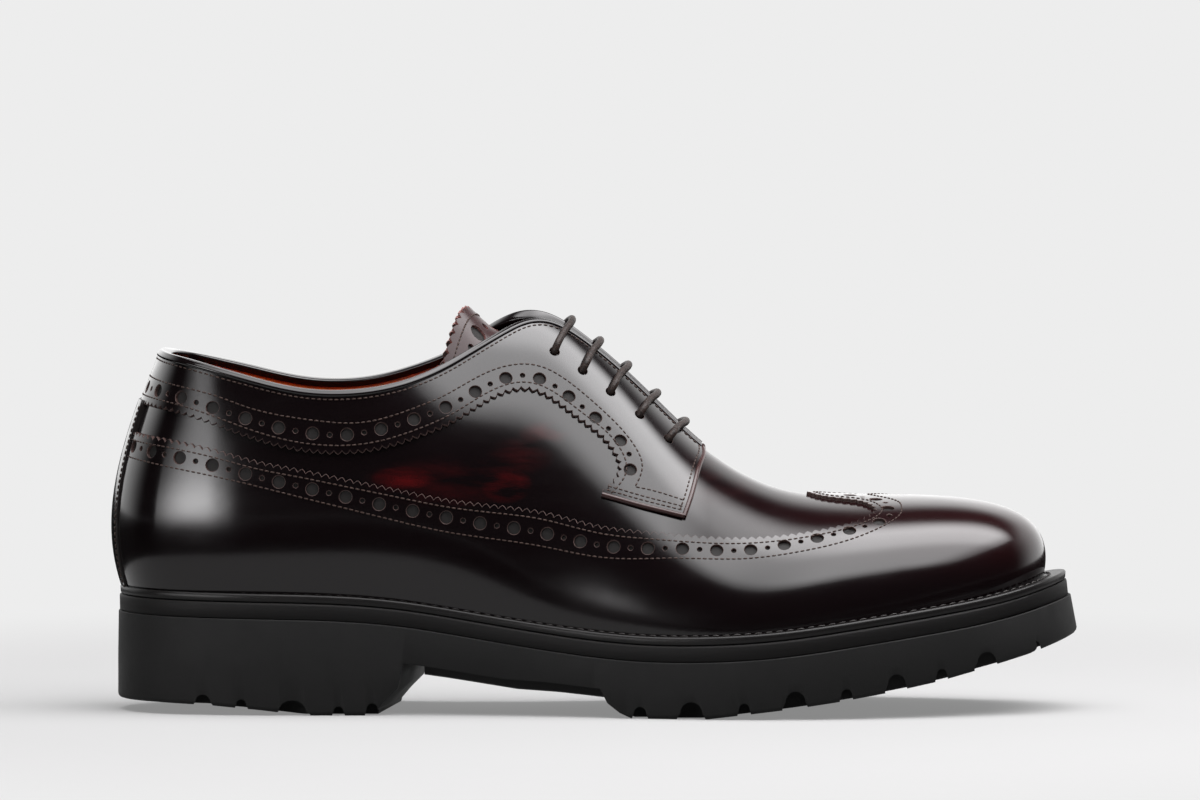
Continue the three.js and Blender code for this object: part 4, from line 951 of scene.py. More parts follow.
def band_drawing(side):
    """Outline and holes of one half of the band."""
    low_edge = gimped(side, smooth_line(BAND_EDGE), -1)
    low_edge[0, 0] = 0.0
    tab_low = evenly(side, smooth_line(TAB_LOW), TAB_STEP)[1:]
    height = float(topline[side](THROAT))
    tab_front = evenly(side, smooth_line(TAB_FRONT[:-1] + [(THROAT, height)]), TAB_STEP)[1:-3]
    top = top_edge(side, 0.597, 0.0, 170)
    turn = corner_cut(tab_front[-1], (0.6075, height), top[0])
    rear = [(0.0, v) for v in np.linspace(topline[side](0.0), low_edge[0, 1], 9)[1:-1]]
    outline = np.vstack([low_edge, tab_low, tab_front, turn, top, rear])
    rings, big, small = punched(side, BAND_HOLES, lambda spots: spots[:, 0] > 0.012)
    eye = np.array([(a, o if side < 0 else i) for a, o, i in LACE_HOLES])
    rings += circles(side, eye, LACE_HOLE + BEVEL, 14)
    return outline, rings, big, small


drawings = []
for side in (-1, 1):
    outline, rings, big, small = band_drawing(side)
    drawings.append((side, outline, rings, BAND_SPACING))
    hole_backs[side] += [big, small]
cut_panel("facing_band_leather", drawings, PANEL_LOW, PANEL_TOP, ["facing_band"])

# %% [markdown]
# The holes don't go through the shoe. A dyed backing leather closes them from behind, which reads as a dull dark
# disc at the bottom of each. One joined mesh of small discs does it, a little wider than the holes so that no gap
# shows round them.

# %% Backing behind the holes
BACKING_WIDER, BACKING_OFF = 0.5, 0.32    # millimetres past the hole's edge, and from the foot shape
points, faces = [], []
for side in (-1, 1):
    for group, radius in zip(hole_backs[side], (BIG_HOLE, SMALL_HOLE) * 2):
        for ring in circles(side, group, radius + BACKING_WIDER, 12):
            order = list(range(len(points), len(points) + len(ring)))
            points += list(skin(side, ring[:, 0], ring[:, 1], BACKING_OFF))
            faces.append(order if side < 0 else order[::-1])
add_piece("hole_backing", points, faces, [backing])
print("holes", len(faces))

# %% [markdown]
# ## The strip down the heel
# A narrow strip covers the seam where both quarters meet at the back. It stands a little proud, so it makes the
# double line at the heel's outline.

# %% Backstay
BACKSTAY_HALF, BACKSTAY_TOP = 0.0255, 0.752    # along and up, from the welt up to under the band
BACKSTAY_PROUD = 0.7                           # millimetres over the wing
up_list = np.linspace(WELT_LINE, BACKSTAY_TOP, 40)
across_list = np.linspace(0, BACKSTAY_HALF, 4)
outline = [(BACKSTAY_HALF, v) for v in up_list] + [(t, BACKSTAY_TOP) for t in across_list[-2::-1]]
outline += [(0.0, v) for v in up_list[-2::-1]] + [(t, WELT_LINE) for t in across_list[1:-1]]
drawings = [(side, np.array(outline), [], BAND_SPACING) for side in (-1, 1)]
cut_panel("backstay_leather", drawings, 0.2, PANEL_TOP + BACKSTAY_PROUD, ["backstay"], edge=dyed_edge)

# %% [markdown]
# ## The tongue
# The tongue lies under the facings and stands up as a soft arch at its free end, with the same gimped edge and
# holes. Its shape is the foot shape, moved inwards, that turns into the arch towards the free end. It is cut from
# one flat drawing, from side edge to side edge. Backing leather closes its holes too, and a row of stitches runs
# on either side of them.

# %% Tongue shape
TONGUE_RIDGE = [
    (0.335, 1.085), (0.382, 0.998), (0.398, 0.942), (0.412, 0.911), (0.440, 0.900), (0.475, 0.880),
    (0.510, 0.820),
]
TONGUE_TIP, TONGUE_ROOT = 0.382, 0.668     # along, its free end and its hidden one
TONGUE_HALF = 0.30                         # how far down from the ridge it reaches, as a share of up
TONGUE_CLEAR = 1.4                         # millimetres under the upper's wall
TONGUE_SWEEP = 0.036                       # along, how far the free edge runs back from its middle to its corners
TONGUE_TEETH = 26
TONGUE_THICK = 1.6
TONGUE_HOLES, TONGUE_ROWS = 0.020, (0.0075, 0.0325)    # along, from the free edge to the holes and the stitch rows
TONGUE_FLAT = np.array([330.0, 30.0])      # millimetres of one unit of along and of across, nearly
tongue_ridge = spline(column(TONGUE_RIDGE, 0), column(TONGUE_RIDGE, 1, CONE_RISE))


def tongue_point(side, t, across):
    """Points of the tongue's outer face; across is 0 on its middle line and 1 at its side edge."""
    t, across = np.broadcast_arrays(np.asarray(t, float), np.asarray(across, float))
    v = 1 - TONGUE_HALF * across
    under = skin(side, t, v, -WALL - TONGUE_CLEAR - 0.6 * across)
    share = ease((0.475 - t) / 0.06)[..., None]
    top = np.stack([along_x(t), section[1](t) * BALL_WIDTH, SEAT_HEIGHT + tongue_ridge(t)], -1)
    edge = skin(side, t, np.full_like(t, 1 - TONGUE_HALF), np.full_like(t, -WALL - TONGUE_CLEAR - 2))
    wide = top + (edge - top) * [0, 0.42, 0]
    high = edge + (top - edge) * [0, 0.1, 0.36]
    w = across[..., None]
    arch = (1 - w) ** 3 * top + 3 * (1 - w) ** 2 * w * wide + 3 * (1 - w) * w * w * high + w ** 3 * edge
    return under * (1 - share) + arch * share


def free_edge(across):
    """Where the tongue's free edge is along; a negative across is on the outer side."""
    return TONGUE_TIP - TONGUE_SWEEP * np.abs(across)


def tongue_lay(t, across):
    """Point and direction on the tongue; a negative across is on the outer side."""
    def face(s, t, a):
        e = 0.01
        along = tongue_point(s, t + 0.003, a) - tongue_point(s, t - 0.003, a)
        wide = tongue_point(s, t, np.maximum(0, a - e)) - tongue_point(s, t, np.minimum(1, a + e))
        return unit(np.cross(along, wide) * -s)
    a = np.abs(across)
    outer_half = across < 0
    point = np.where(outer_half[:, None], tongue_point(-1, t, a), tongue_point(1, t, a))
    normal = np.where(outer_half[:, None], face(-1, t, a), face(1, t, a))
    middle = (a < 0.02)[:, None]
    return point, unit(np.where(middle, face(-1, t, a) + face(1, t, a), normal))


def tongue_drawing():
    """Outline and holes of the tongue, across from -1 to 1."""
    count = TONGUE_TEETH * len(TOOTH_FORM) + 1
    w = np.linspace(-1, 1, count)
    t = free_edge(w) - teeth(count) * TOOTH_DEPTH / TONGUE_FLAT[0]
    free = np.stack([t, w], -1)
    right = [(s, 1.0) for s in np.linspace(t[-1], TONGUE_ROOT, 60)[1:]]
    root = [(TONGUE_ROOT, a) for a in np.linspace(1, -1, 18)[1:]]
    left = [(s, -1.0) for s in np.linspace(TONGUE_ROOT, t[0], 60)[1:-1]]
    outline = np.vstack([free, right, root, left])
    rings = []
    for k, w0 in enumerate(np.linspace(-0.72, 0.72, 9)):
        radius = (BIG_HOLE if k % 2 == 0 else SMALL_HOLE) + BEVEL
        angle = np.linspace(0, 2 * np.pi, 13)[:-1]
        circle = np.stack([np.cos(angle) * radius / 300, np.sin(angle) * radius / TONGUE_FLAT[1]], -1)
        rings.append(circle + [free_edge(w0) + TONGUE_HOLES, w0])
    return outline, rings


print("tongue top", round(float(tongue_point(-1, TONGUE_TIP, 0.0)[2]), 1), "mm")

# %% The tongue, cut and laid
outline, rings = tongue_drawing()
spots, triangle = fill(outline, rings, BAND_SPACING, TONGUE_FLAT, lambda v: TONGUE_FLAT[0])
point, normal = tongue_lay(spots[:, 0], spots[:, 1])
triangle, rim = facing_out(point, normal, triangle)
count = len(point)
a, b = rim[:, 0], rim[:, 1]
wall = np.stack([b, a, a + count, b + count], -1)
faces = triangle.tolist() + wall.tolist() + (triangle[:, ::-1] + count).tolist()
kinds = np.r_[np.zeros(len(triangle)), np.ones(len(rim)), np.full(len(triangle), 2)]
away = unit(np.cross(point[b] - point[a], normal[a]))
corner = np.vstack([normal[triangle.ravel()], np.repeat(away, 4, axis=0), -normal[triangle[:, ::-1].ravel()]])
add_piece("tongue_leather", np.vstack([point, point - normal * TONGUE_THICK]), faces,
          [tongue_calf, raw_edge, cut_edge], ["tongue"], kinds, corner)
print("tongue", len(faces), "faces")

# %% Backing behind the tongue's holes
BACKING_SHARE, BACKING_DOWN = 1.15, 0.9      # size of a disc to its hole, and millimetres under the tongue's face
points, faces = [], []
for ring in rings:
    wide = ring.mean(0) + (ring - ring.mean(0)) * BACKING_SHARE
    place, up = tongue_lay(wide[:, 0], wide[:, 1])
    faces.append(list(range(len(points), len(points) + len(ring))))
    points += list(place - up * BACKING_DOWN)
add_piece("tongue_backing", points, faces, [backing])

# %% [markdown]
# ## Rolled collar edge and folded facing edge
# The top line is not a raw cut: a thin strip of leather is rolled over it, and it goes on along the front of the
# facings as a narrow bead. It is swept as a half-round band from the outside, over the edge, to the lining.

# %% Helper: sweep of a section along a line
def sweep(path, across, upward, profile):
    """Points and quads of a profile [(across, upward)] carried along a path with two directions at each point."""
    points = np.stack([path + across * a + upward * u for a, u in profile], 1).reshape(-1, 3)
    n, k = len(path), len(profile)
    faces = []
    for i in range(n - 1):
        for m in range(k):
            o = (m + 1) % k
            faces.append((i * k + m, i * k + k + m, i * k + k + o, i * k + o))
    faces.append(tuple(range(k)))
    faces.append(tuple(range((n - 1) * k, n * k))[::-1])
    return points, faces


# %% Rolled edge
ROLL_END = 0.604      # along, at the front of the facings


def rim_line():
    """Spots of the open edge, from the outer throat round the heel to the inner throat, with directions."""
    path, out, up = [], [], []
    for side in (-1, 1):
        t = (1 - np.linspace(0, 1, 300)) * ROLL_END
        if side > 0:
            t = t[::-1][1:]
        v = topline[side](t)
        path.append(skin_raw(side, t, v))
        out.append(skin_normal(side, t, v))
        up.append(frame_at(side, t, v)[1])
    path, out, up = np.vstack(path), np.vstack(out), np.vstack(up)
    way = unit(np.gradient(path, axis=0))
    rise = unit(np.cross(out, way))
    rise *= np.sign((rise * up).sum(-1, keepdims=True))
    return path, out, rise


path, out, rise = rim_line()
outer_face, inner_face = GAP + OVERLAY + 0.25, -WALL - 0.15
middle, half = (outer_face + inner_face) / 2, (outer_face - inner_face) / 2
angles = np.linspace(0, np.pi, 15)
squared = lambda c: math.copysign(abs(c) ** 0.55, c)    # tight corners and a nearly flat top
profile = [(middle + half * squared(math.cos(a)), 0.15 + squared(math.sin(a))) for a in angles]
# down the lining, back through the leather, and out again as a small bead on the facing
profile += [(inner_face + a, u) for a, u in ((0, -0.5), (0, -1.3), (0.4, -1.4), (0.45, -0.6))]
profile += [(outer_face + a, u) for a, u in ((-0.6, -1.25), (-0.2, -1.3), (0.1, -1.1), (0.3, -0.65), (0.3, -0.15))]
points, faces = sweep(path, out, rise, profile)
faces = [f[::-1] for f in faces]
collar_roll = add_piece("collar_roll", points, faces, [calf])
collar_roll.data.set_sharp_from_angle(angle=math.radians(50))
print("open edge", round(float(run_along(path)[-1])), "mm")

# %% [markdown]
# ## Stitches
# Every row is a lockstitch of waxed thread, about 1.8 mm from hole to hole. From outside a stitch is a short
# raised grain that dips into a needle hole at both ends. Thousands of them are laid at once: one small shape,
# repeated by array arithmetic along a line, in one joined mesh per row or pair of rows.

# %% Helper: rows of stitches
STITCH = 1.85
THREAD = 0.26      # radius


STITCH_FORM = [
    # along the stitch, thickness and lift of its middle in shares of the thread's radius
    (-1, 0.25, -0.5), (-0.72, 0.85, 0.0), (0, 1.0, 0.25), (0.72, 0.85, 0.0), (1.0, 0.25, -0.5),
]
CORNERS = 6


def stitch_mesh(centres, ways, outs, length, radius):
    """Points and faces of many stitches at once."""
    lefts = unit(np.cross(outs, ways))
    grid = []
    for s, w, lift in STITCH_FORM:
        for a in np.arange(CORNERS) * 2 * math.pi / CORNERS:
            grid.append(centres + ways * (s * length / 2) + lefts * (math.cos(a) * radius * w)
                        + outs * (math.sin(a) * radius * w * 0.8 + lift * radius))
    ring = np.arange(CORNERS)
    one = []
    for i in range(len(STITCH_FORM) - 1):
        a, b = i * CORNERS + ring, i * CORNERS + (ring + 1) % CORNERS
        one.append(np.stack([a, a + CORNERS, b + CORNERS, b], -1))
    ends = np.array([ring, len(grid) - 1 - ring])
    starts = (np.arange(len(centres)) * len(grid))[:, None, None]
    faces = (np.vstack(one)[None] + starts).reshape(-1, 4)
    caps = (ends[None] + starts).reshape(-1, CORNERS)
    return np.stack(grid, 1).reshape(-1, 3), faces.tolist() + caps.tolist()


def between(ends, outs):
    """Centres, ways and outward directions of the stitches from each needle hole to the next."""
    return (ends[1:] + ends[:-1]) / 2, unit(ends[1:] - ends[:-1]), outs


def stitch_row(side, line, off):
    """Stitches along a line on the foot shape, off millimetres outside it."""
    spots = evenly(side, line, STITCH)
    middle = (spots[1:] + spots[:-1]) / 2
    ends = skin(side, spots[:, 0], spots[:, 1], off)
    return between(ends, skin_normal(side, middle[:, 0], middle[:, 1]))


def sewn(name, rows, material, length=STITCH * 0.8, radius=THREAD):
    """One piece with all stitches of several rows."""
    centres, ways, outs = (np.vstack(part) for part in zip(*rows))
    points, faces = stitch_mesh(centres, ways, outs, length, radius)
    add_piece(name, points, faces, [material])
    print(name, len(centres), "stitches")


# %% All rows on the overlays
TOP = PANEL_TOP + 0.02                 # millimetres from the foot shape to the stitches
EDGE_ROW, COLLAR_ROW = 2.0, 2.15       # from a gimped edge and from the collar to the row beside it
TAB_LOW_ROWS, TAB_FRONT_ROW = (2.0, 3.4), 2.1
TAB_SEAM = [(0.541, 0.470), (0.560, 0.492), (0.588, 0.520)]
rows = {"wing": [], "band": [], "collar": [], "heel": [], "tab": []}
for side in (-1, 1):
    heel_line = np.array([(0.0235, v) for v in np.linspace(0.03, 0.735, 60)])
    rows["heel"].append(stitch_row(side, heel_line, TOP + BACKSTAY_PROUD))
    lines = [("wing", beside(side, smooth_line(WING_EDGE), -EDGE_ROW)), ("wing", smooth_line(WING_STITCH)),
             ("band", beside(side, smooth_line(BAND_EDGE), EDGE_ROW)), ("band", smooth_line(BAND_STITCH)),
             ("collar", beside(side, top_edge(side, 0.002, 0.600, 300), -COLLAR_ROW))]
    lines += [("tab", beside(side, smooth_line(TAB_LOW), distance)[12:-18]) for distance in TAB_LOW_ROWS]
    lines += [("tab", beside(side, smooth_line(TAB_FRONT), TAB_FRONT_ROW)[14:-14]), ("tab", smooth_line(TAB_SEAM))]
    for name, line in lines:
        rows[name].append(stitch_row(side, line, TOP))
for name, group in rows.items():
    sewn(name + "_stitches", group, thread)

# %% Two rows on the tongue
across = np.linspace(-0.98, 0.98, 61)
tongue_rows = []
for distance in TONGUE_ROWS:
    ends, up = tongue_lay(free_edge(across) + distance, across)
    tongue_rows.append(between(ends, up[1:]))
sewn("tongue_stitches", tongue_rows, thread)

# %% [markdown]
# ## The lace
# A thin round waxed lace, 2.4 mm across, crosses straight over the facings in five bars. Each bar comes up through
# its hole, bends over and goes down the other side; between the bars it runs hidden under the facings. One tube
# along one smooth line does it all, so the bars pass through the holes as they really do.

# %% Helper: a tube along a line
def tube(points, radius, sides=12, flat=None):
    """A closed tube; flat squeezes it along a direction, by a share at each point."""
    points = np.asarray(points, float)
    ways = unit(np.gradient(points, axis=0))
    across = np.empty_like(points)
    across[0] = unit(np.cross(ways[0], [0.3, 0.1, 1.0]))
    for i in range(1, len(points)):
        across[i] = unit(across[i - 1] - ways[i] * (across[i - 1] @ ways[i]))
    third = np.cross(ways, across)
    angle = np.arange(sides) * 2 * math.pi / sides
    ring = (across[:, None] * np.cos(angle)[None, :, None] + third[:, None] * np.sin(angle)[None, :, None]) * radius
    if flat is not None:
        direction, share = flat
        ring -= direction[:, None] * ((ring * direction[:, None]).sum(-1) * share[:, None])[..., None]
    made = (points[:, None] + ring).reshape(-1, 3)
    n = len(points)
    i, k = np.meshgrid(np.arange(n - 1), np.arange(sides), indexing="ij")
    a = (i * sides + k).ravel()
    b = (i * sides + (k + 1) % sides).ravel()
    faces = np.stack([a, b, b + sides, a + sides], -1).tolist()
    faces += [list(range(sides))[::-1], list(range((n - 1) * sides, n * sides))]
    return made, faces


# %% [markdown]
# The leather of the tab is turned over a thin cord at its lower and front edge, so both end in a small round bead.
# The same tube, most of it sunk into the panel, makes that bead too.

# %% Folded edges of the tab
BEAD, BEAD_IN, BEAD_SUNK = 0.85, 0.2, 0.35     # radius, and millimetres inwards from the edge and into the panel
points, faces = [], []
for side in (-1, 1):
    for line in (TAB_LOW, TAB_FRONT):
        spots = beside(side, smooth_line(line), BEAD_IN)[::8]
        made, quads = tube(skin(side, spots[:, 0], spots[:, 1], TOP - BEAD_SUNK), BEAD, 10)
        faces += [[k + len(points) for k in quad] for quad in quads]
        points += list(made)
tab_bead = add_piece("tab_bead", points, faces, [bead_calf])
tab_bead.data.set_sharp_from_angle(angle=math.radians(60))

# %% Lace path
LACE = 2.4             # across
LACE_LEAN = 3.7        # millimetres that a bar leans to the toe between its hole and the throat
LEAN_SHARE = LACE_LEAN / (TOE_POLE_X - HEEL_POLE_X) * (TOE_TURN - HEEL_TURN)
LACE_UNDER = -WALL - 0.75      # from the foot shape to the lace between facing and tongue
LACE_SQUEEZE = 0.45            # how much of its height it loses there


def lace_bars():
    """The five bars as spots: side, along, up and how far outside the foot shape."""
    bars = []
    over = PANEL_TOP + 0.25 + LACE / 2
    for number, (along, outer, inner) in enumerate(LACE_HOLES):
        bar = []
        for side in (-1, 1):
            hole = outer if side < 0 else inner
            edge = float(topline[side](along + LEAN_SHARE))
            low = [(side, along - 0.001, hole - 0.012, LACE_UNDER), (side, along, hole, -0.6),
                   (side, along, hole + 0.002, PANEL_TOP - 0.1), (side, along + 0.0012, hole + 0.018, over - 0.15)]
            mid = [(side, along + LEAN_SHARE * s, hole + (edge - hole) * s, over) for s in (0.4, 0.7)]
            top = [(side, along + LEAN_SHARE, edge, over + 0.15)]
            bar.append(low + mid + top)
        bar = bar[0] + bar[1][::-1]
        bars.append(bar if number % 2 == 0 else bar[::-1])
    return bars


def lace_points():
    """The lace's middle line as close points, with the squeeze where it lies between facing and tongue."""
    bars = lace_bars()
    spots = list(bars[0])
    for before, bar in zip(bars, bars[1:]):
        side, t0, v0, _ = before[-1]
        _, t1, v1, _ = bar[0]
        spots += [(side, t0 + (t1 - t0) * share, v0 + (v1 - v0) * share, LACE_UNDER) for share in (0.25, 0.5, 0.75)]
        spots += bar
    line = np.array([skin(*spot) for spot in spots])
    direction = np.array([skin_normal(side, t, v) for side, t, v, _ in spots])
    squeeze = [LACE_SQUEEZE if off < -2 else 0.0 for _, _, _, off in spots]
    run = run_along(line)
    fine = np.linspace(0, run[-1], 900)
    smooth = np.stack([spline(run, line[:, k])(fine) for k in range(3)], -1)
    return smooth, unit(read_line(direction, run, fine)), np.interp(fine, run, squeeze), run[-1]


BRAID_MM = 0.8         # from one ridge of the braid to the next


def waxed_lace():
    """Round braided cotton cord, waxed: small closely set ridges, dull dark brown."""
    material, tree, output = new_material("waxed_round_lace")
    place = node(tree, "ShaderNodeTexCoord").outputs["Object"]
    braid = node(tree, "ShaderNodeTexVoronoi", {"Vector": place, "Scale": 1 / (BRAID_MM * MM)}).outputs["Distance"]
    two_toned(tree, output, braid, "#281d19", "#0f0a09", braid, 0.5, 0.2,
              {"Roughness": 0.5, "Specular IOR Level": 0.2})
    return material


line, direction, squeeze, length = lace_points()
points, faces = tube(line, LACE / 2, 12, (direction, squeeze))
add_piece("lace", points, faces, [waxed_lace()], [f"lace_bar_{i}" for i in range(1, 6)])
print("lace", round(float(length)), "mm long")

# %% [markdown]
# ## Welt and midsole
# The welt is a strip that the upper and the midsole are sewn to. Its edge is trimmed, inked black and waxed, and a
# row of black stitches runs on its top, close to the upper. The midsole below is a plain black band. Both follow
# the plan of the lower edge. A trimmed and inked edge keeps fine level scratches from the trimming knife: the
# photograph hardly shows them, so they are drawn 0.6 to 0.9 mm apart.

# %% Plan line of the sole
WELT_EDGE = [
    # along, how far the sole stands out, how far the welt does, in shares of the ball width
    (0, 0.033, 0.033), (0.15, 0.043, 0.043), (0.40, 0.040, 0.040), (0.62, 0.062, 0.060), (0.80, 0.070, 0.066),
    (0.90, 0.090, 0.078), (0.958, 0.131, 0.100), (1.00, 0.150, 0.110),
]
sole_edge = spline(column(WELT_EDGE, 0, SOLE_LENGTH), column(WELT_EDGE, 1, BALL_WIDTH))
welt_edge = spline(column(WELT_EDGE, 0, SOLE_LENGTH), column(WELT_EDGE, 2, BALL_WIDTH))
ROUND = 520            # points round the sole
q = np.arange(ROUND) / ROUND
ring_x, ring_y = plan_x(q), plan_y(q)
way_x, way_y = np.gradient(ring_x), np.gradient(ring_y)
way_x[0] = way_x[-1] = (ring_x[1] - ring_x[-1]) / 2
way_y[0] = way_y[-1] = (ring_y[1] - ring_y[-1]) / 2
size = np.hypot(way_x, way_y)
out_x, out_y = way_y / size, -way_x / size


def ring_at(grow, height):
    """Points round the plan, moved outwards by grow and at a height above the midsole's top."""
    reach = grow(ring_x) if callable(grow) else grow
    x = ring_x + out_x * reach
    y = ring_y + out_y * reach
    z = seat_curve(np.clip(x, 0, SOLE_LENGTH)) - WELT_THICK + height
    return np.stack([x, y, z], -1)


def ring_band(levels):
    """Quads between rings of points, from the last ring on to the first."""
    i = np.arange(ROUND)
    j = (i + 1) % ROUND
    faces = []
    for m in range(len(levels)):
        here, after = m * ROUND, (m + 1) % len(levels) * ROUND
        faces.append(np.stack([here + i, here + j, after + j, after + i], -1))
    return np.vstack(levels), np.vstack(faces)


# %% Material: trimmed and inked edge
def inked_edge(name, base, worn, rough, stripe_mm, coat):
    """Leather or rubber edge, trimmed and inked: thin level scratches and a dull wax shine."""
    material, tree, output = new_material(name)
    place = node(tree, "ShaderNodeTexCoord").outputs["Object"]
    stretch = node(tree, "ShaderNodeMapping", {"Vector": place, "Scale": (60.0, 60.0, 1 / (stripe_mm * MM))})
    lines = node(tree, "ShaderNodeTexNoise", {"Vector": stretch.outputs[0], "Scale": 1.0,
                                              "Detail": 3.0}).outputs["Fac"]
    two_toned(tree, output, lines, base, worn, lines, 0.3, 0.12, {
        "Roughness": rough, "Specular IOR Level": 0.15, "Coat Weight": coat, "Coat Roughness": 0.25})
    return material


welt_material = inked_edge("inked_welt_leather", "#060505", "#0e0c0c", 0.42, 0.9, 0.12)
midsole_material = inked_edge("black_midsole_sheet", "#060505", "#0d0c0c", 0.6, 0.6, 0.0)

# %% Welt
T = WELT_THICK
WELT_SECTION = [
    # past the welt's edge, height over its underside: a rounded edge, millimetres
    (-0.8, 0.15), (-0.3, 0.25), (-0.05, 0.6), (0.05, T - 0.6), (-0.25, T - 0.15), (-0.7, T + 0.02),
    (-1.2, T - 0.05),
]
levels = [ring_at(0.9, 0.15)]
levels += [ring_at(lambda x, past=past: welt_edge(x) + past, height) for past, height in WELT_SECTION]
levels += [ring_at(lambda x: np.minimum(welt_edge(x) - 1.4, 2.6), T - 0.1), ring_at(1.0, T + 0.15)]
points, faces = ring_band(levels)
add_piece("welt_leather", points, faces, [welt_material], ["welt"])

# %% Welt stitches
WELT_STITCH = 3.4      # millimetres from needle hole to needle hole
line = ring_at(lambda x: np.maximum(welt_edge(x) * 0.45, 1.9), T + 0.12)
run = run_along(line)
ends = read_line(line, run, np.linspace(0, run[-1], int(run[-1] / WELT_STITCH) + 1))
upwards = np.broadcast_to([0.0, 0.0, 1.0], (len(ends) - 1, 3))
welt_thread = matt_leather("black_waxed_thread", "#1a1412", "#0a0707", 0.5, 0.5, 0.3)
sewn("welt_stitches", [between(ends, upwards)], welt_thread, length=2.6, radius=0.36)


# %% Helper: a level body from heel to toe
def stack(levels, stations):
    """A closed body from outlines; each level is how far it stands out and its height as a curve of x."""
    points, faces = [], []
    count = 900
    ring = np.linspace(0, 1, count + 1)
    px, py = plan_x(ring), plan_y(ring)
    dx, dy = plan_x(ring + 5e-4) - plan_x(ring - 5e-4), plan_y(ring + 5e-4) - plan_y(ring - 5e-4)
    long = np.hypot(dx, dy)
    for grow, height in levels:
        reach = grow(px) if callable(grow) else grow
        x, y = px + dy / long * reach, py - dx / long * reach
        tip = int(np.argmax(x))
        start, finish = x[0], x[tip]
        marks = start + (finish - start) * (1 - np.cos(np.pi * np.arange(stations + 1) / stations)) / 2
        outer = np.interp(marks, np.maximum.accumulate(x[:tip + 1]), y[:tip + 1])
        inner_x, inner_y = x[tip:][::-1], y[tip:][::-1]
        inner = np.interp(marks, np.maximum.accumulate(inner_x), inner_y)
        inner[0], inner[-1] = outer[0] + 1e-3, outer[-1] + 1e-3
        z = height(np.clip(marks, 0, SOLE_LENGTH))
        points.append(np.stack([marks, outer, z], -1))
        points.append(np.stack([marks, inner, z], -1))
    n = stations + 1
    at = lambda level, half, i: (level * 2 + half) * n + i
    for level in range(len(levels) - 1):
        for i in range(stations):
            faces.append((at(level, 0, i), at(level, 0, i + 1), at(level + 1, 0, i + 1), at(level + 1, 0, i)))
            faces.append((at(level, 1, i + 1), at(level, 1, i), at(level + 1, 1, i), at(level + 1, 1, i + 1)))
        faces.append((at(level, 1, 0), at(level, 0, 0), at(level + 1, 0, 0), at(level + 1, 1, 0)))
        faces.append((at(level, 0, stations), at(level, 1, stations), at(level + 1, 1, stations),
                      at(level + 1, 0, stations)))
    last = len(levels) - 1
    for i in range(stations):
        faces.append((at(0, 1, i), at(0, 1, i + 1), at(0, 0, i + 1), at(0, 0, i)))
        faces.append((at(last, 0, i), at(last, 0, i + 1), at(last, 1, i + 1), at(last, 1, i)))
    return np.vstack(points), faces


# %% Midsole and insole
seat_low = lambda h: (lambda x: seat_curve(x) - WELT_THICK + h)
TOE_LEAN, LEAN_START, LEAN_LONG = 2.2, 262, 28      # the toe's front leans out towards the ground
toe_in = lambda x: TOE_LEAN * ease((x - LEAN_START) / LEAN_LONG)
both = lambda x: (welt_edge(x) + sole_edge(x)) / 2 - toe_in(x) * 0.6
points, faces = stack([
    (lambda x: sole_edge(x) - 0.1 - toe_in(x), seat_low(-MIDSOLE_THICK)),
    (lambda x: sole_edge(x) + 0.2 - toe_in(x), seat_low(-4.9)), (lambda x: both(x) + 0.3, seat_low(-0.7)),
    (lambda x: both(x) + 0.1, seat_low(-0.15)), (lambda x: both(x) - 0.5, seat_low(0.1)),
], 150)
midsole = add_piece("midsole_sheet", points, faces, [midsole_material], ["midsole"])
midsole.data.set_sharp_from_angle(angle=math.radians(55))
points, faces = stack([
    (-WALL - 1.2, seat_low(0.35)), (-WALL - 1.0, seat_low(2.6)), (-WALL - 1.6, seat_low(3.3)),
], 90)
insole = add_piece("insole_sock", points, faces, [lining_calf], ["insole"])
insole.data.set_sharp_from_angle(angle=math.radians(60))
print("welt, midsole and insole made")

# %% [markdown]
# ## The lugged rubber sole
# Sole and heel are one rubber moulding. The block is built up from outlines of the sole at several heights, with
# its lower edge rounded. Then the mould's own shapes are cut out: the waist between heel and ball, the notches
# that show as small arches along the edge, and the channels of the tread. The notches are blind pockets, and the
# channels lie farther in, so no light shows through from the other side. Cutting is the Boolean modifier's work, and
# a Bevel modifier rounds the fresh edges, because moulded rubber has no knife-sharp ones.

# %% Outline of heel and lugs from the side
TREAD = [
    # along the sole, height of the underside in shares of the seat's height
    (0, 0.095), (0.040, 0.094), (0.095, 0.080), (0.150, 0.042), (0.195, 0), (0.300, 0), (0.400, 0), (0.500, 0),
    (0.612, 0), (0.659, 0.045), (0.701, 0.085), (0.750, 0.140), (0.799, 0.205), (0.854, 0.290), (0.893, 0.368),
    (0.948, 0.486), (1.000, 0.620),
]
WAIST = [
    (0.277, -0.20), (0.283, 0.03), (0.293, 0.12), (0.306, 0.22), (0.312, 0.42), (0.345, 0.385), (0.417, 0.300),
    (0.461, 0.280), (0.520, 0.235), (0.528, 0.120), (0.541, 0.045), (0.560, -0.020), (0.570, -0.200),
]
NOTCHES = [
    # along the sole, width and height in millimetres
    (0.090, 6, 3.4), (0.130, 4, 3), (0.183, 11, 4.5), (0.231, 4, 3), (0.266, 4.5, 4), (0.544, 5, 3.8),
    (0.597, 9, 5.6), (0.652, 4.2, 3.8), (0.705, 8, 5.6), (0.758, 4.2, 3.8), (0.810, 7, 5.4), (0.857, 4, 3.8),
    (0.904, 7.5, 5), (0.954, 4.5, 3.6),
]
TREAD_DEPTH, CHANNEL = 4.5, 4.5        # depth and width of the channels
EDGE_BLOCK = 18.0                      # width of the blocks along the edge
NOTCH_DEPTH = 8.0                      # how far a notch goes in from the side
SKEW = 0.12                            # millimetres that the waist's ends lean for each millimetre across
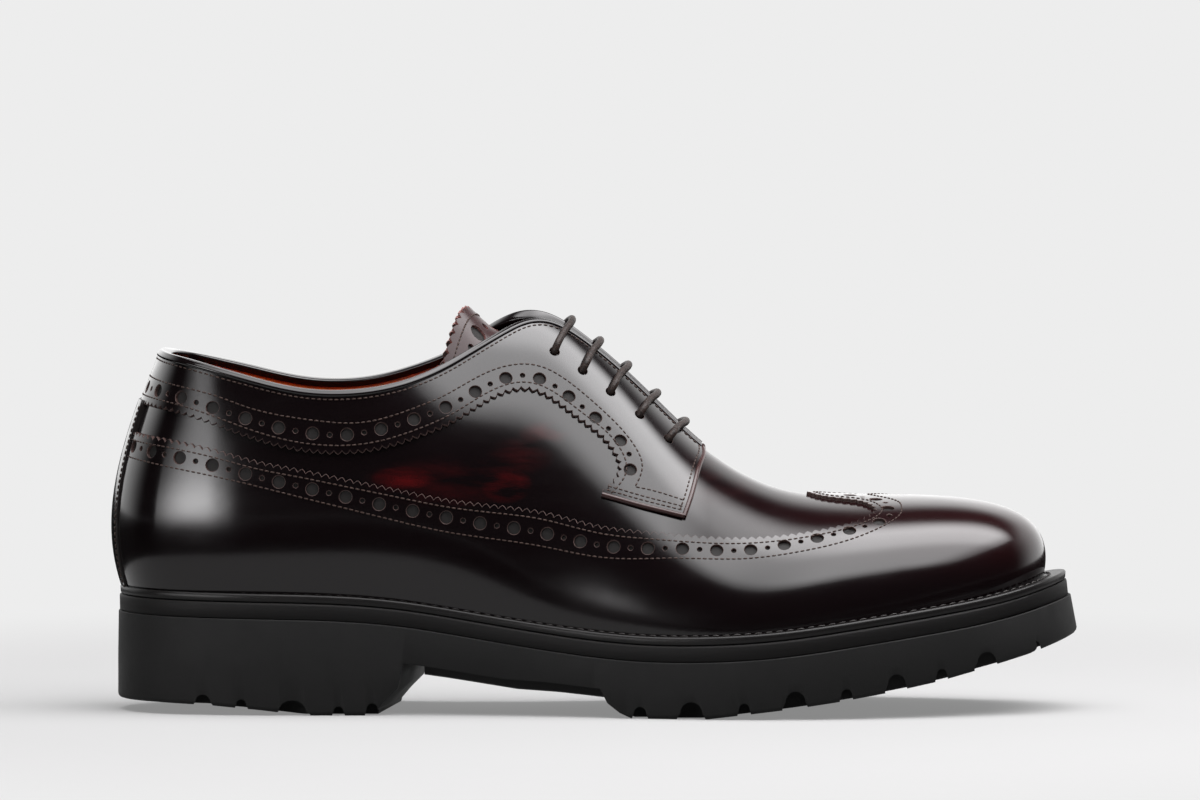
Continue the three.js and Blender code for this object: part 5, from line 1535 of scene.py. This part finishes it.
CROSS_BARS = [0.6245, 0.6785, 0.7315, 0.784, 0.8335, 0.8805]    # along the sole, the channels across the forefoot
TREAD_RINGS = [(0.562, 0.937), (0.104, 0.2565)]                 # along the sole, those round forefoot and heel


def tread(x):
    """Height of the underside at x."""
    return np.interp(x, column(TREAD, 0, SOLE_LENGTH), column(TREAD, 1, SEAT_HEIGHT))


def half_width(side, x):
    """y of the sole's edge at x."""
    ring = np.linspace(0, 1, 1200)
    px, py = plan_x(ring), plan_y(ring)
    low = py < 0 if side < 0 else py > 0
    order = np.argsort(px[low])
    return float(np.interp(x, px[low][order], py[low][order])) + side * float(sole_edge(x))


# %% Rubber block, cutters and cuts
rubber_top = lambda x: seat_curve(x) - WELT_THICK - MIDSOLE_THICK - GAP * 0.2
round_levels = [(-0.5, 0.0), (0.2, 0.2), (0.65, 0.7), (0.8, 1.4)]
levels = [(lambda x, g=g: sole_edge(x) + g, lambda x, h=h: tread(x) + h) for g, h in round_levels]
levels += [(lambda x: sole_edge(x) + 0.8 - toe_in(x) * 0.4, lambda x: tread(x) + (rubber_top(x) - tread(x)) * 0.5),
           (lambda x: sole_edge(x) + 0.6 - toe_in(x) * 0.8, lambda x: rubber_top(x) - 0.3),
           (lambda x: sole_edge(x) + 0.3 - toe_in(x) * 0.8, lambda x: rubber_top(x))]
points, faces = stack(levels, 200)


def plain_object(name, points, faces):
    """A helper object from points in millimetres, for cutting."""
    return new_object(name, in_metres(points), faces)


def prism(profile, y0, y1, skew=0.0):
    """A bar across the shoe, with a profile in x and z listed counter-clockwise from the outer side."""
    profile = np.array(profile, float)
    n = len(profile)
    near = np.stack([profile[:, 0] + skew * y0, np.full(n, y0), profile[:, 1]], -1)
    far = np.stack([profile[:, 0] + skew * y1, np.full(n, y1), profile[:, 1]], -1)
    faces = [list(range(n)), list(range(n, 2 * n))[::-1]]
    faces += [(i, i + n, (i + 1) % n + n, (i + 1) % n) for i in range(n)]
    return np.vstack([near, far]), faces


def arch(x, floor, width, high):
    """The rounded outline of a notch, open below."""
    angle = np.linspace(0, math.pi, 9)
    round_part = min(width * 0.42, high * 0.8)
    top = [(x + math.cos(a) * width * 0.40, floor + high - round_part + math.sin(a) * round_part) for a in angle]
    return [(x - width * 0.56, floor - 8), (x + width * 0.56, floor - 8), (x + width * 0.52, floor)] + top + [
        (x - width * 0.52, floor)]


rubber = plain_object("rubber_block", points, faces)
cutters = [plain_object("cut_waist", *prism(
    [(a * SOLE_LENGTH, h * SEAT_HEIGHT) for a, h in reversed(WAIST)], -BALL_WIDTH, BALL_WIDTH, SKEW))]
for number, (share, width, high) in enumerate(NOTCHES):
    x = share * SOLE_LENGTH
    for side in (-1, 1):
        rim = half_width(side, x)
        inward = rim - side * NOTCH_DEPTH
        y0, y1 = sorted([rim + side * 9, inward])
        cutters.append(plain_object(f"cut_notch_{number}", *prism(arch(x, float(tread(x)), width, high), y0, y1)))


def ring_cutter(start, finish, grow, depth_low, depth_high):
    """A flat body inside the tread, as wide as the outline moved by grow, from start to finish along x."""
    stations = 30
    marks = np.linspace(start, finish, stations + 1)
    outer = np.array([half_width(-1, x) + float(sole_edge(x)) - grow for x in marks])
    inner = np.array([half_width(1, x) - float(sole_edge(x)) + grow for x in marks])
    low, high = tread(marks) + depth_low, tread(marks) + depth_high
    n = stations + 1
    points = np.vstack([np.stack([marks, w, z], -1) for z in (low, high) for w in (outer, inner)])
    faces = []
    for i in range(stations):
        faces += [(i, n + i, n + i + 1, i + 1), (2 * n + i, 2 * n + i + 1, 3 * n + i + 1, 3 * n + i),
                  (i, i + 1, 2 * n + i + 1, 2 * n + i), (n + i + 1, n + i, 3 * n + i, 3 * n + i + 1)]
    faces += [(n, 0, 2 * n, 3 * n), (stations, n + stations, 3 * n + stations, 2 * n + stations)]
    return points, faces


rings = []
for start, finish in TREAD_RINGS:
    a, b = start * SOLE_LENGTH, finish * SOLE_LENGTH
    big = plain_object("cut_ring", *ring_cutter(a, b, -EDGE_BLOCK, -7, TREAD_DEPTH))
    core = plain_object("keep_core", *ring_cutter(a + CHANNEL, b - CHANNEL, -EDGE_BLOCK - CHANNEL, -9,
                                                  TREAD_DEPTH + 3))
    rings.append((big, core))
for share in CROSS_BARS:
    x = share * SOLE_LENGTH
    z, c, inward = float(tread(x)), CHANNEL / 2, EDGE_BLOCK + float(sole_edge(x)) + CHANNEL / 2
    bar = [(x - c, z - 6), (x + c, z - 6), (x + c, z + TREAD_DEPTH - 0.7), (x - c, z + TREAD_DEPTH - 0.7)]
    cutters.append(plain_object("cut_bar", *prism(bar, half_width(-1, x) + inward, half_width(1, x) - inward)))


def boolean(target, other, operation):
    """Adds one Boolean step to an object."""
    step = target.modifiers.new(operation.lower(), "BOOLEAN")
    step.operation = operation
    step.solver = "MANIFOLD"
    step.object = other


def settle(target):
    """Turns an object's modifiers into its mesh."""
    graph = bpy.context.evaluated_depsgraph_get()
    made = bpy.data.meshes.new_from_object(target.evaluated_get(graph))
    target.modifiers.clear()
    target.data = made


for big, core in rings:
    boolean(big, core, "DIFFERENCE")
    settle(big)
    cutters.append(big)
boolean(rubber, cutters[0], "DIFFERENCE")

# %% Raised middle of the waist
BOSS_START, BOSS_END = 0.320, 0.515    # along the sole
BOSS_LEVELS = [(-10, -4.2), (-7, -3.6), (-6, 2)]    # in from the outline, height over the waist's arch
waist_low = lambda x: np.interp(x, column(WAIST, 0, SOLE_LENGTH), column(WAIST, 1, SEAT_HEIGHT))
marks = np.linspace(BOSS_START * SOLE_LENGTH, BOSS_END * SOLE_LENGTH, 25)
boss = []
for grow, extra in BOSS_LEVELS:
    for side in (-1, 1):
        y = [half_width(side, x) - side * float(sole_edge(x)) + side * grow for x in marks]
        boss.append(np.stack([marks, y, waist_low(marks) + extra], -1))
n = len(marks)
faces = []
for level in range(2):
    o, i, o2, i2 = (level * 2 * n, level * 2 * n + n, level * 2 * n + 2 * n, level * 2 * n + 3 * n)
    for k in range(n - 1):
        faces += [(o + k, o + k + 1, o2 + k + 1, o2 + k), (i + k + 1, i + k, i2 + k, i2 + k + 1)]
    faces += [(i, o, o2, i2), (o + n - 1, i + n - 1, i2 + n - 1, o2 + n - 1)]
faces += [(k + n, k + n + 1, k + 1, k) for k in range(n - 1)]
faces += [(4 * n + k, 4 * n + k + 1, 5 * n + k + 1, 5 * n + k) for k in range(n - 1)]
boss = plain_object("waist_boss", np.vstack(boss), faces)
boolean(rubber, boss, "UNION")

# %% Notches and channels
for cutter in cutters[1:]:
    boolean(rubber, cutter, "DIFFERENCE")
settle(rubber)
print("rubber after cuts:", len(rubber.data.polygons), "faces")
for helper in cutters + [boss] + [core for _, core in rings]:
    bpy.data.objects.remove(helper)


# %% Material: moulded rubber, and the finished sole
GRAIN_MM = 0.7         # a blasted mould's grain is about 0.1 mm: drawn coarser, so that it shows


def moulded_rubber():
    """Black carbon-filled rubber, moulded against a blasted steel mould: charcoal, matt, a very fine grain."""
    material, tree, output = new_material("moulded_black_rubber")
    place = node(tree, "ShaderNodeTexCoord").outputs["Object"]
    dust = node(tree, "ShaderNodeTexNoise", {"Vector": place, "Scale": 45.0, "Detail": 6.0, "Roughness": 0.7})
    grain = node(tree, "ShaderNodeTexNoise", {"Vector": place, "Scale": 1 / (GRAIN_MM * MM), "Detail": 3.0})
    rough = node(tree, "ShaderNodeMapRange", {"Value": dust.outputs["Fac"], "From Min": 0.3, "From Max": 0.7,
                                              "To Min": 0.62, "To Max": 0.78})
    two_toned(tree, output, dust.outputs["Fac"], "#050505", "#0b0b0b", grain.outputs["Fac"], 0.25, 0.12,
              {"Roughness": rough.outputs[0], "Specular IOR Level": 0.2})
    return material


bevel = rubber.modifiers.new("rounded", "BEVEL")
bevel.width = 0.55 * MM
bevel.segments = 2
bevel.limit_method = "ANGLE"
bevel.angle_limit = math.radians(38)
settle(rubber)
rubber.name = "rubber_sole"
rubber.data.materials.clear()
rubber.data.materials.append(moulded_rubber())
rubber.data.polygons.foreach_set("material_index", np.zeros(len(rubber.data.polygons), np.int32))
rubber.data.polygons.foreach_set("use_smooth", np.ones(len(rubber.data.polygons), bool))
rubber.data.set_sharp_from_angle(angle=math.radians(34))
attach(rubber, "root")
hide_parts("outsole")
print("rubber sole", len(rubber.data.polygons), "faces")

# %% [markdown]
# ## Floor and light
# The photograph has a pale seamless floor, one large soft box over the shoe, a narrow one at the heel's side and a
# darker room round the table. Polished leather is a mirror, so it is the shape and place of these lights that draws
# the shoe. Each light is therefore a real rectangle of glowing cloth rather than a lamp, and it grows dimmer where
# its reflection does on the photographed toe, vamp and facing. The floor close to the shoe takes its shadow; farther
# away it has the plain background colour.

# %% Floor
NEAR, FAR = 0.20, 0.42     # metres from the shoe's middle, where its shadow starts to fade and where it has faded


def pale_floor():
    """Matt white sweep: diffuse near the shoe, and an even pale tone farther out."""
    material, tree, output = new_material("pale_studio_floor")
    place = node(tree, "ShaderNodeTexCoord").outputs["Object"]
    flat = node(tree, "ShaderNodeVectorMath", {0: place, 1: (1.0, 0.8, 0.0)}, operation="MULTIPLY")
    far = node(tree, "ShaderNodeVectorMath", {0: flat.outputs[0]}, operation="LENGTH")
    fade = node(tree, "ShaderNodeMapRange", {"Value": far.outputs["Value"], "From Min": NEAR, "From Max": FAR},
                interpolation_type="SMOOTHSTEP")
    cloth = node(tree, "ShaderNodeBsdfDiffuse", {"Color": (0.170, 0.170, 0.170, 1)})
    glow = node(tree, "ShaderNodeEmission", {"Color": colour("#888888"), "Strength": 1.0})
    near = node(tree, "ShaderNodeAddShader", {0: cloth.outputs[0], 1: glow.outputs[0]})
    even = node(tree, "ShaderNodeEmission", {"Color": colour("#ededed"), "Strength": 1.0})
    both_parts = node(tree, "ShaderNodeMixShader", {0: fade.outputs[0], 1: near.outputs[0], 2: even.outputs[0]})
    tree.links.new(both_parts.outputs[0], output.inputs["Surface"])
    return material


FLOOR = 30.0               # metres from the shoe to the floor's edge
floor = new_object("floor", [(-FLOOR, -FLOOR, 0), (FLOOR, -FLOOR, 0), (FLOOR, FLOOR, 0), (-FLOOR, FLOOR, 0)],
                   [(0, 1, 2, 3)], [pale_floor()])
floor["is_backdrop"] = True

# %% [markdown]
# The table ends about 0.3 m from the shoe's middle, and the room beyond it is dark. Only reflections see the ring
# that stands for that room, so the picture's background stays pale.

# %% Dark surroundings
TABLE, ROOM, TABLE_LONG = 0.27, 6.0, 1.25    # metres to the ring's two edges, and how much longer than wide it is
CORNERS_ROUND = 64
material, tree, output = new_material("dark_room_floor")
dull = node(tree, "ShaderNodeEmission", {"Color": (0.012, 0.012, 0.012, 1), "Strength": 1.0})
tree.links.new(dull.outputs[0], output.inputs["Surface"])
angle = np.linspace(0, 2 * np.pi, CORNERS_ROUND + 1)[:-1]
i = np.arange(CORNERS_ROUND)
j = (i + 1) % CORNERS_ROUND
dark_ring = new_object(
    "dark_ring", [(math.cos(a) * r * TABLE_LONG, math.sin(a) * r, 0.0008) for r in (TABLE, ROOM) for a in angle],
    np.stack([i, j, j + CORNERS_ROUND, i + CORNERS_ROUND], -1), [material])
dark_ring.visible_camera = False
dark_ring.visible_diffuse = False
dark_ring.visible_shadow = False
dark_ring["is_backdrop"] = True


# %% Lights
def soft_box(name, reach, place, peak, ramps):
    """A rectangle of cloth with lamps behind it; ramps give where it grows dimmer: axis, from, to, dimmest."""
    material, tree, output = new_material(name + "_cloth")
    within = node(tree, "ShaderNodeTexCoord").outputs["Object"]
    split = node(tree, "ShaderNodeSeparateXYZ", {"Vector": within})
    tone = peak
    for axis, low, high, dim in ramps:
        ramp = node(tree, "ShaderNodeMapRange", {"Value": split.outputs[axis], "From Min": low, "From Max": high,
                                                 "To Min": dim, "To Max": 1.0}, interpolation_type="SMOOTHSTEP")
        tone = node(tree, "ShaderNodeMath", {0: ramp.outputs[0], 1: tone}, operation="MULTIPLY").outputs[0]
    glow = node(tree, "ShaderNodeEmission", {"Color": (1.0, 0.99, 1.0, 1), "Strength": tone})
    tree.links.new(glow.outputs[0], output.inputs["Surface"])
    x0, x1, y0, y1 = reach
    box = new_object(name, [(x0, y0, 0), (x1, y0, 0), (x1, y1, 0), (x0, y1, 0)], [(3, 2, 1, 0)], [material])
    box.location = place
    box.visible_camera = False
    box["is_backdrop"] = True
    return box


# reach is x from and to, y from and to, in metres of the box's own plane
OVERHEAD = (-0.9, 2.0, -1.75, 0.8)
OVERHEAD_RAMPS = [
    # axis, where it is dimmest, where it is bright, the share of light left where it is dimmest
    ("Y", -1.75, -1.25, 0.3), ("Y", -0.60, -0.20, 0.62), ("X", -0.40, 0.25, 0.5), ("X", 2.0, 1.2, 0.3),
    ("Y", 0.78, 0.15, 0.0),
]
HEEL_SIDE = (-0.33, 0.36, -0.11, 0.13)
HEEL_SIDE_RAMPS = [
    ("Y", -0.11, -0.02, 0.0), ("Y", 0.08, -0.01, 0.38), ("X", 0.36, 0.17, 0.0), ("X", -0.33, 0.12, 0.2),
]
soft_box("overhead", OVERHEAD, (0.0, 0.0, 1.5), 13.2, OVERHEAD_RAMPS)
heel_side = soft_box("heel_side", HEEL_SIDE, (-0.521, -0.483, 0.125), 17.0, HEEL_SIDE_RAMPS)
heel_side.rotation_euler = (math.radians(90), 0, math.radians(-41))
# This one gives a reflection only: the large box alone lights the floor and casts the shadow
heel_side.visible_diffuse = False
heel_side.visible_shadow = False

# %% [markdown]
# ## The room
# The camera sees a plain pale background. Reflections see a room that is nearly black, with a pale wall low down
# behind the shoe, which fades out upwards.

# %% Background and room
world = bpy.data.worlds.new("studio")
bpy.context.scene.world = world
world.use_nodes = True
tree = world.node_tree
tree.nodes.clear()
aim = node(tree, "ShaderNodeTexCoord").outputs["Generated"]
parts = node(tree, "ShaderNodeSeparateXYZ", {"Vector": aim})
behind = node(tree, "ShaderNodeMapRange", {"Value": parts.outputs["Y"], "From Min": 0.0, "From Max": 0.6,
                                           "To Min": 0.0, "To Max": 1.5}, interpolation_type="SMOOTHSTEP")
level = node(tree, "ShaderNodeMapRange", {"Value": parts.outputs["Z"], "From Min": 0.48, "From Max": 0.74,
                                          "To Min": 1.0, "To Max": 0.0}, interpolation_type="SMOOTHSTEP")
sweep_part = node(tree, "ShaderNodeMath", {0: behind.outputs[0], 1: level.outputs[0]}, operation="MULTIPLY")
dim = node(tree, "ShaderNodeMath", {0: sweep_part.outputs[0], 1: 0.03}, operation="ADD")
seen = node(tree, "ShaderNodeLightPath").outputs["Is Camera Ray"]
tone = node(tree, "ShaderNodeMix", {"Factor": seen, "A": dim.outputs[0], "B": 0.847}, data_type="FLOAT")
room = node(tree, "ShaderNodeBackground", {"Color": tone.outputs[0], "Strength": 1.0})
node(tree, "ShaderNodeOutputWorld", {"Surface": room.outputs[0]})
bpy.context.scene.view_settings.view_transform = "Standard"
print("studio made")

# %% [markdown]
# ## Sizes
# The last lines print the box round the CAD shoe and the box round the dressed shoe.

# %% Sizes
size = {"cad": [list(c) for c in cad_box], "visual": [list(c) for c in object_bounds()]}
print("size", size)
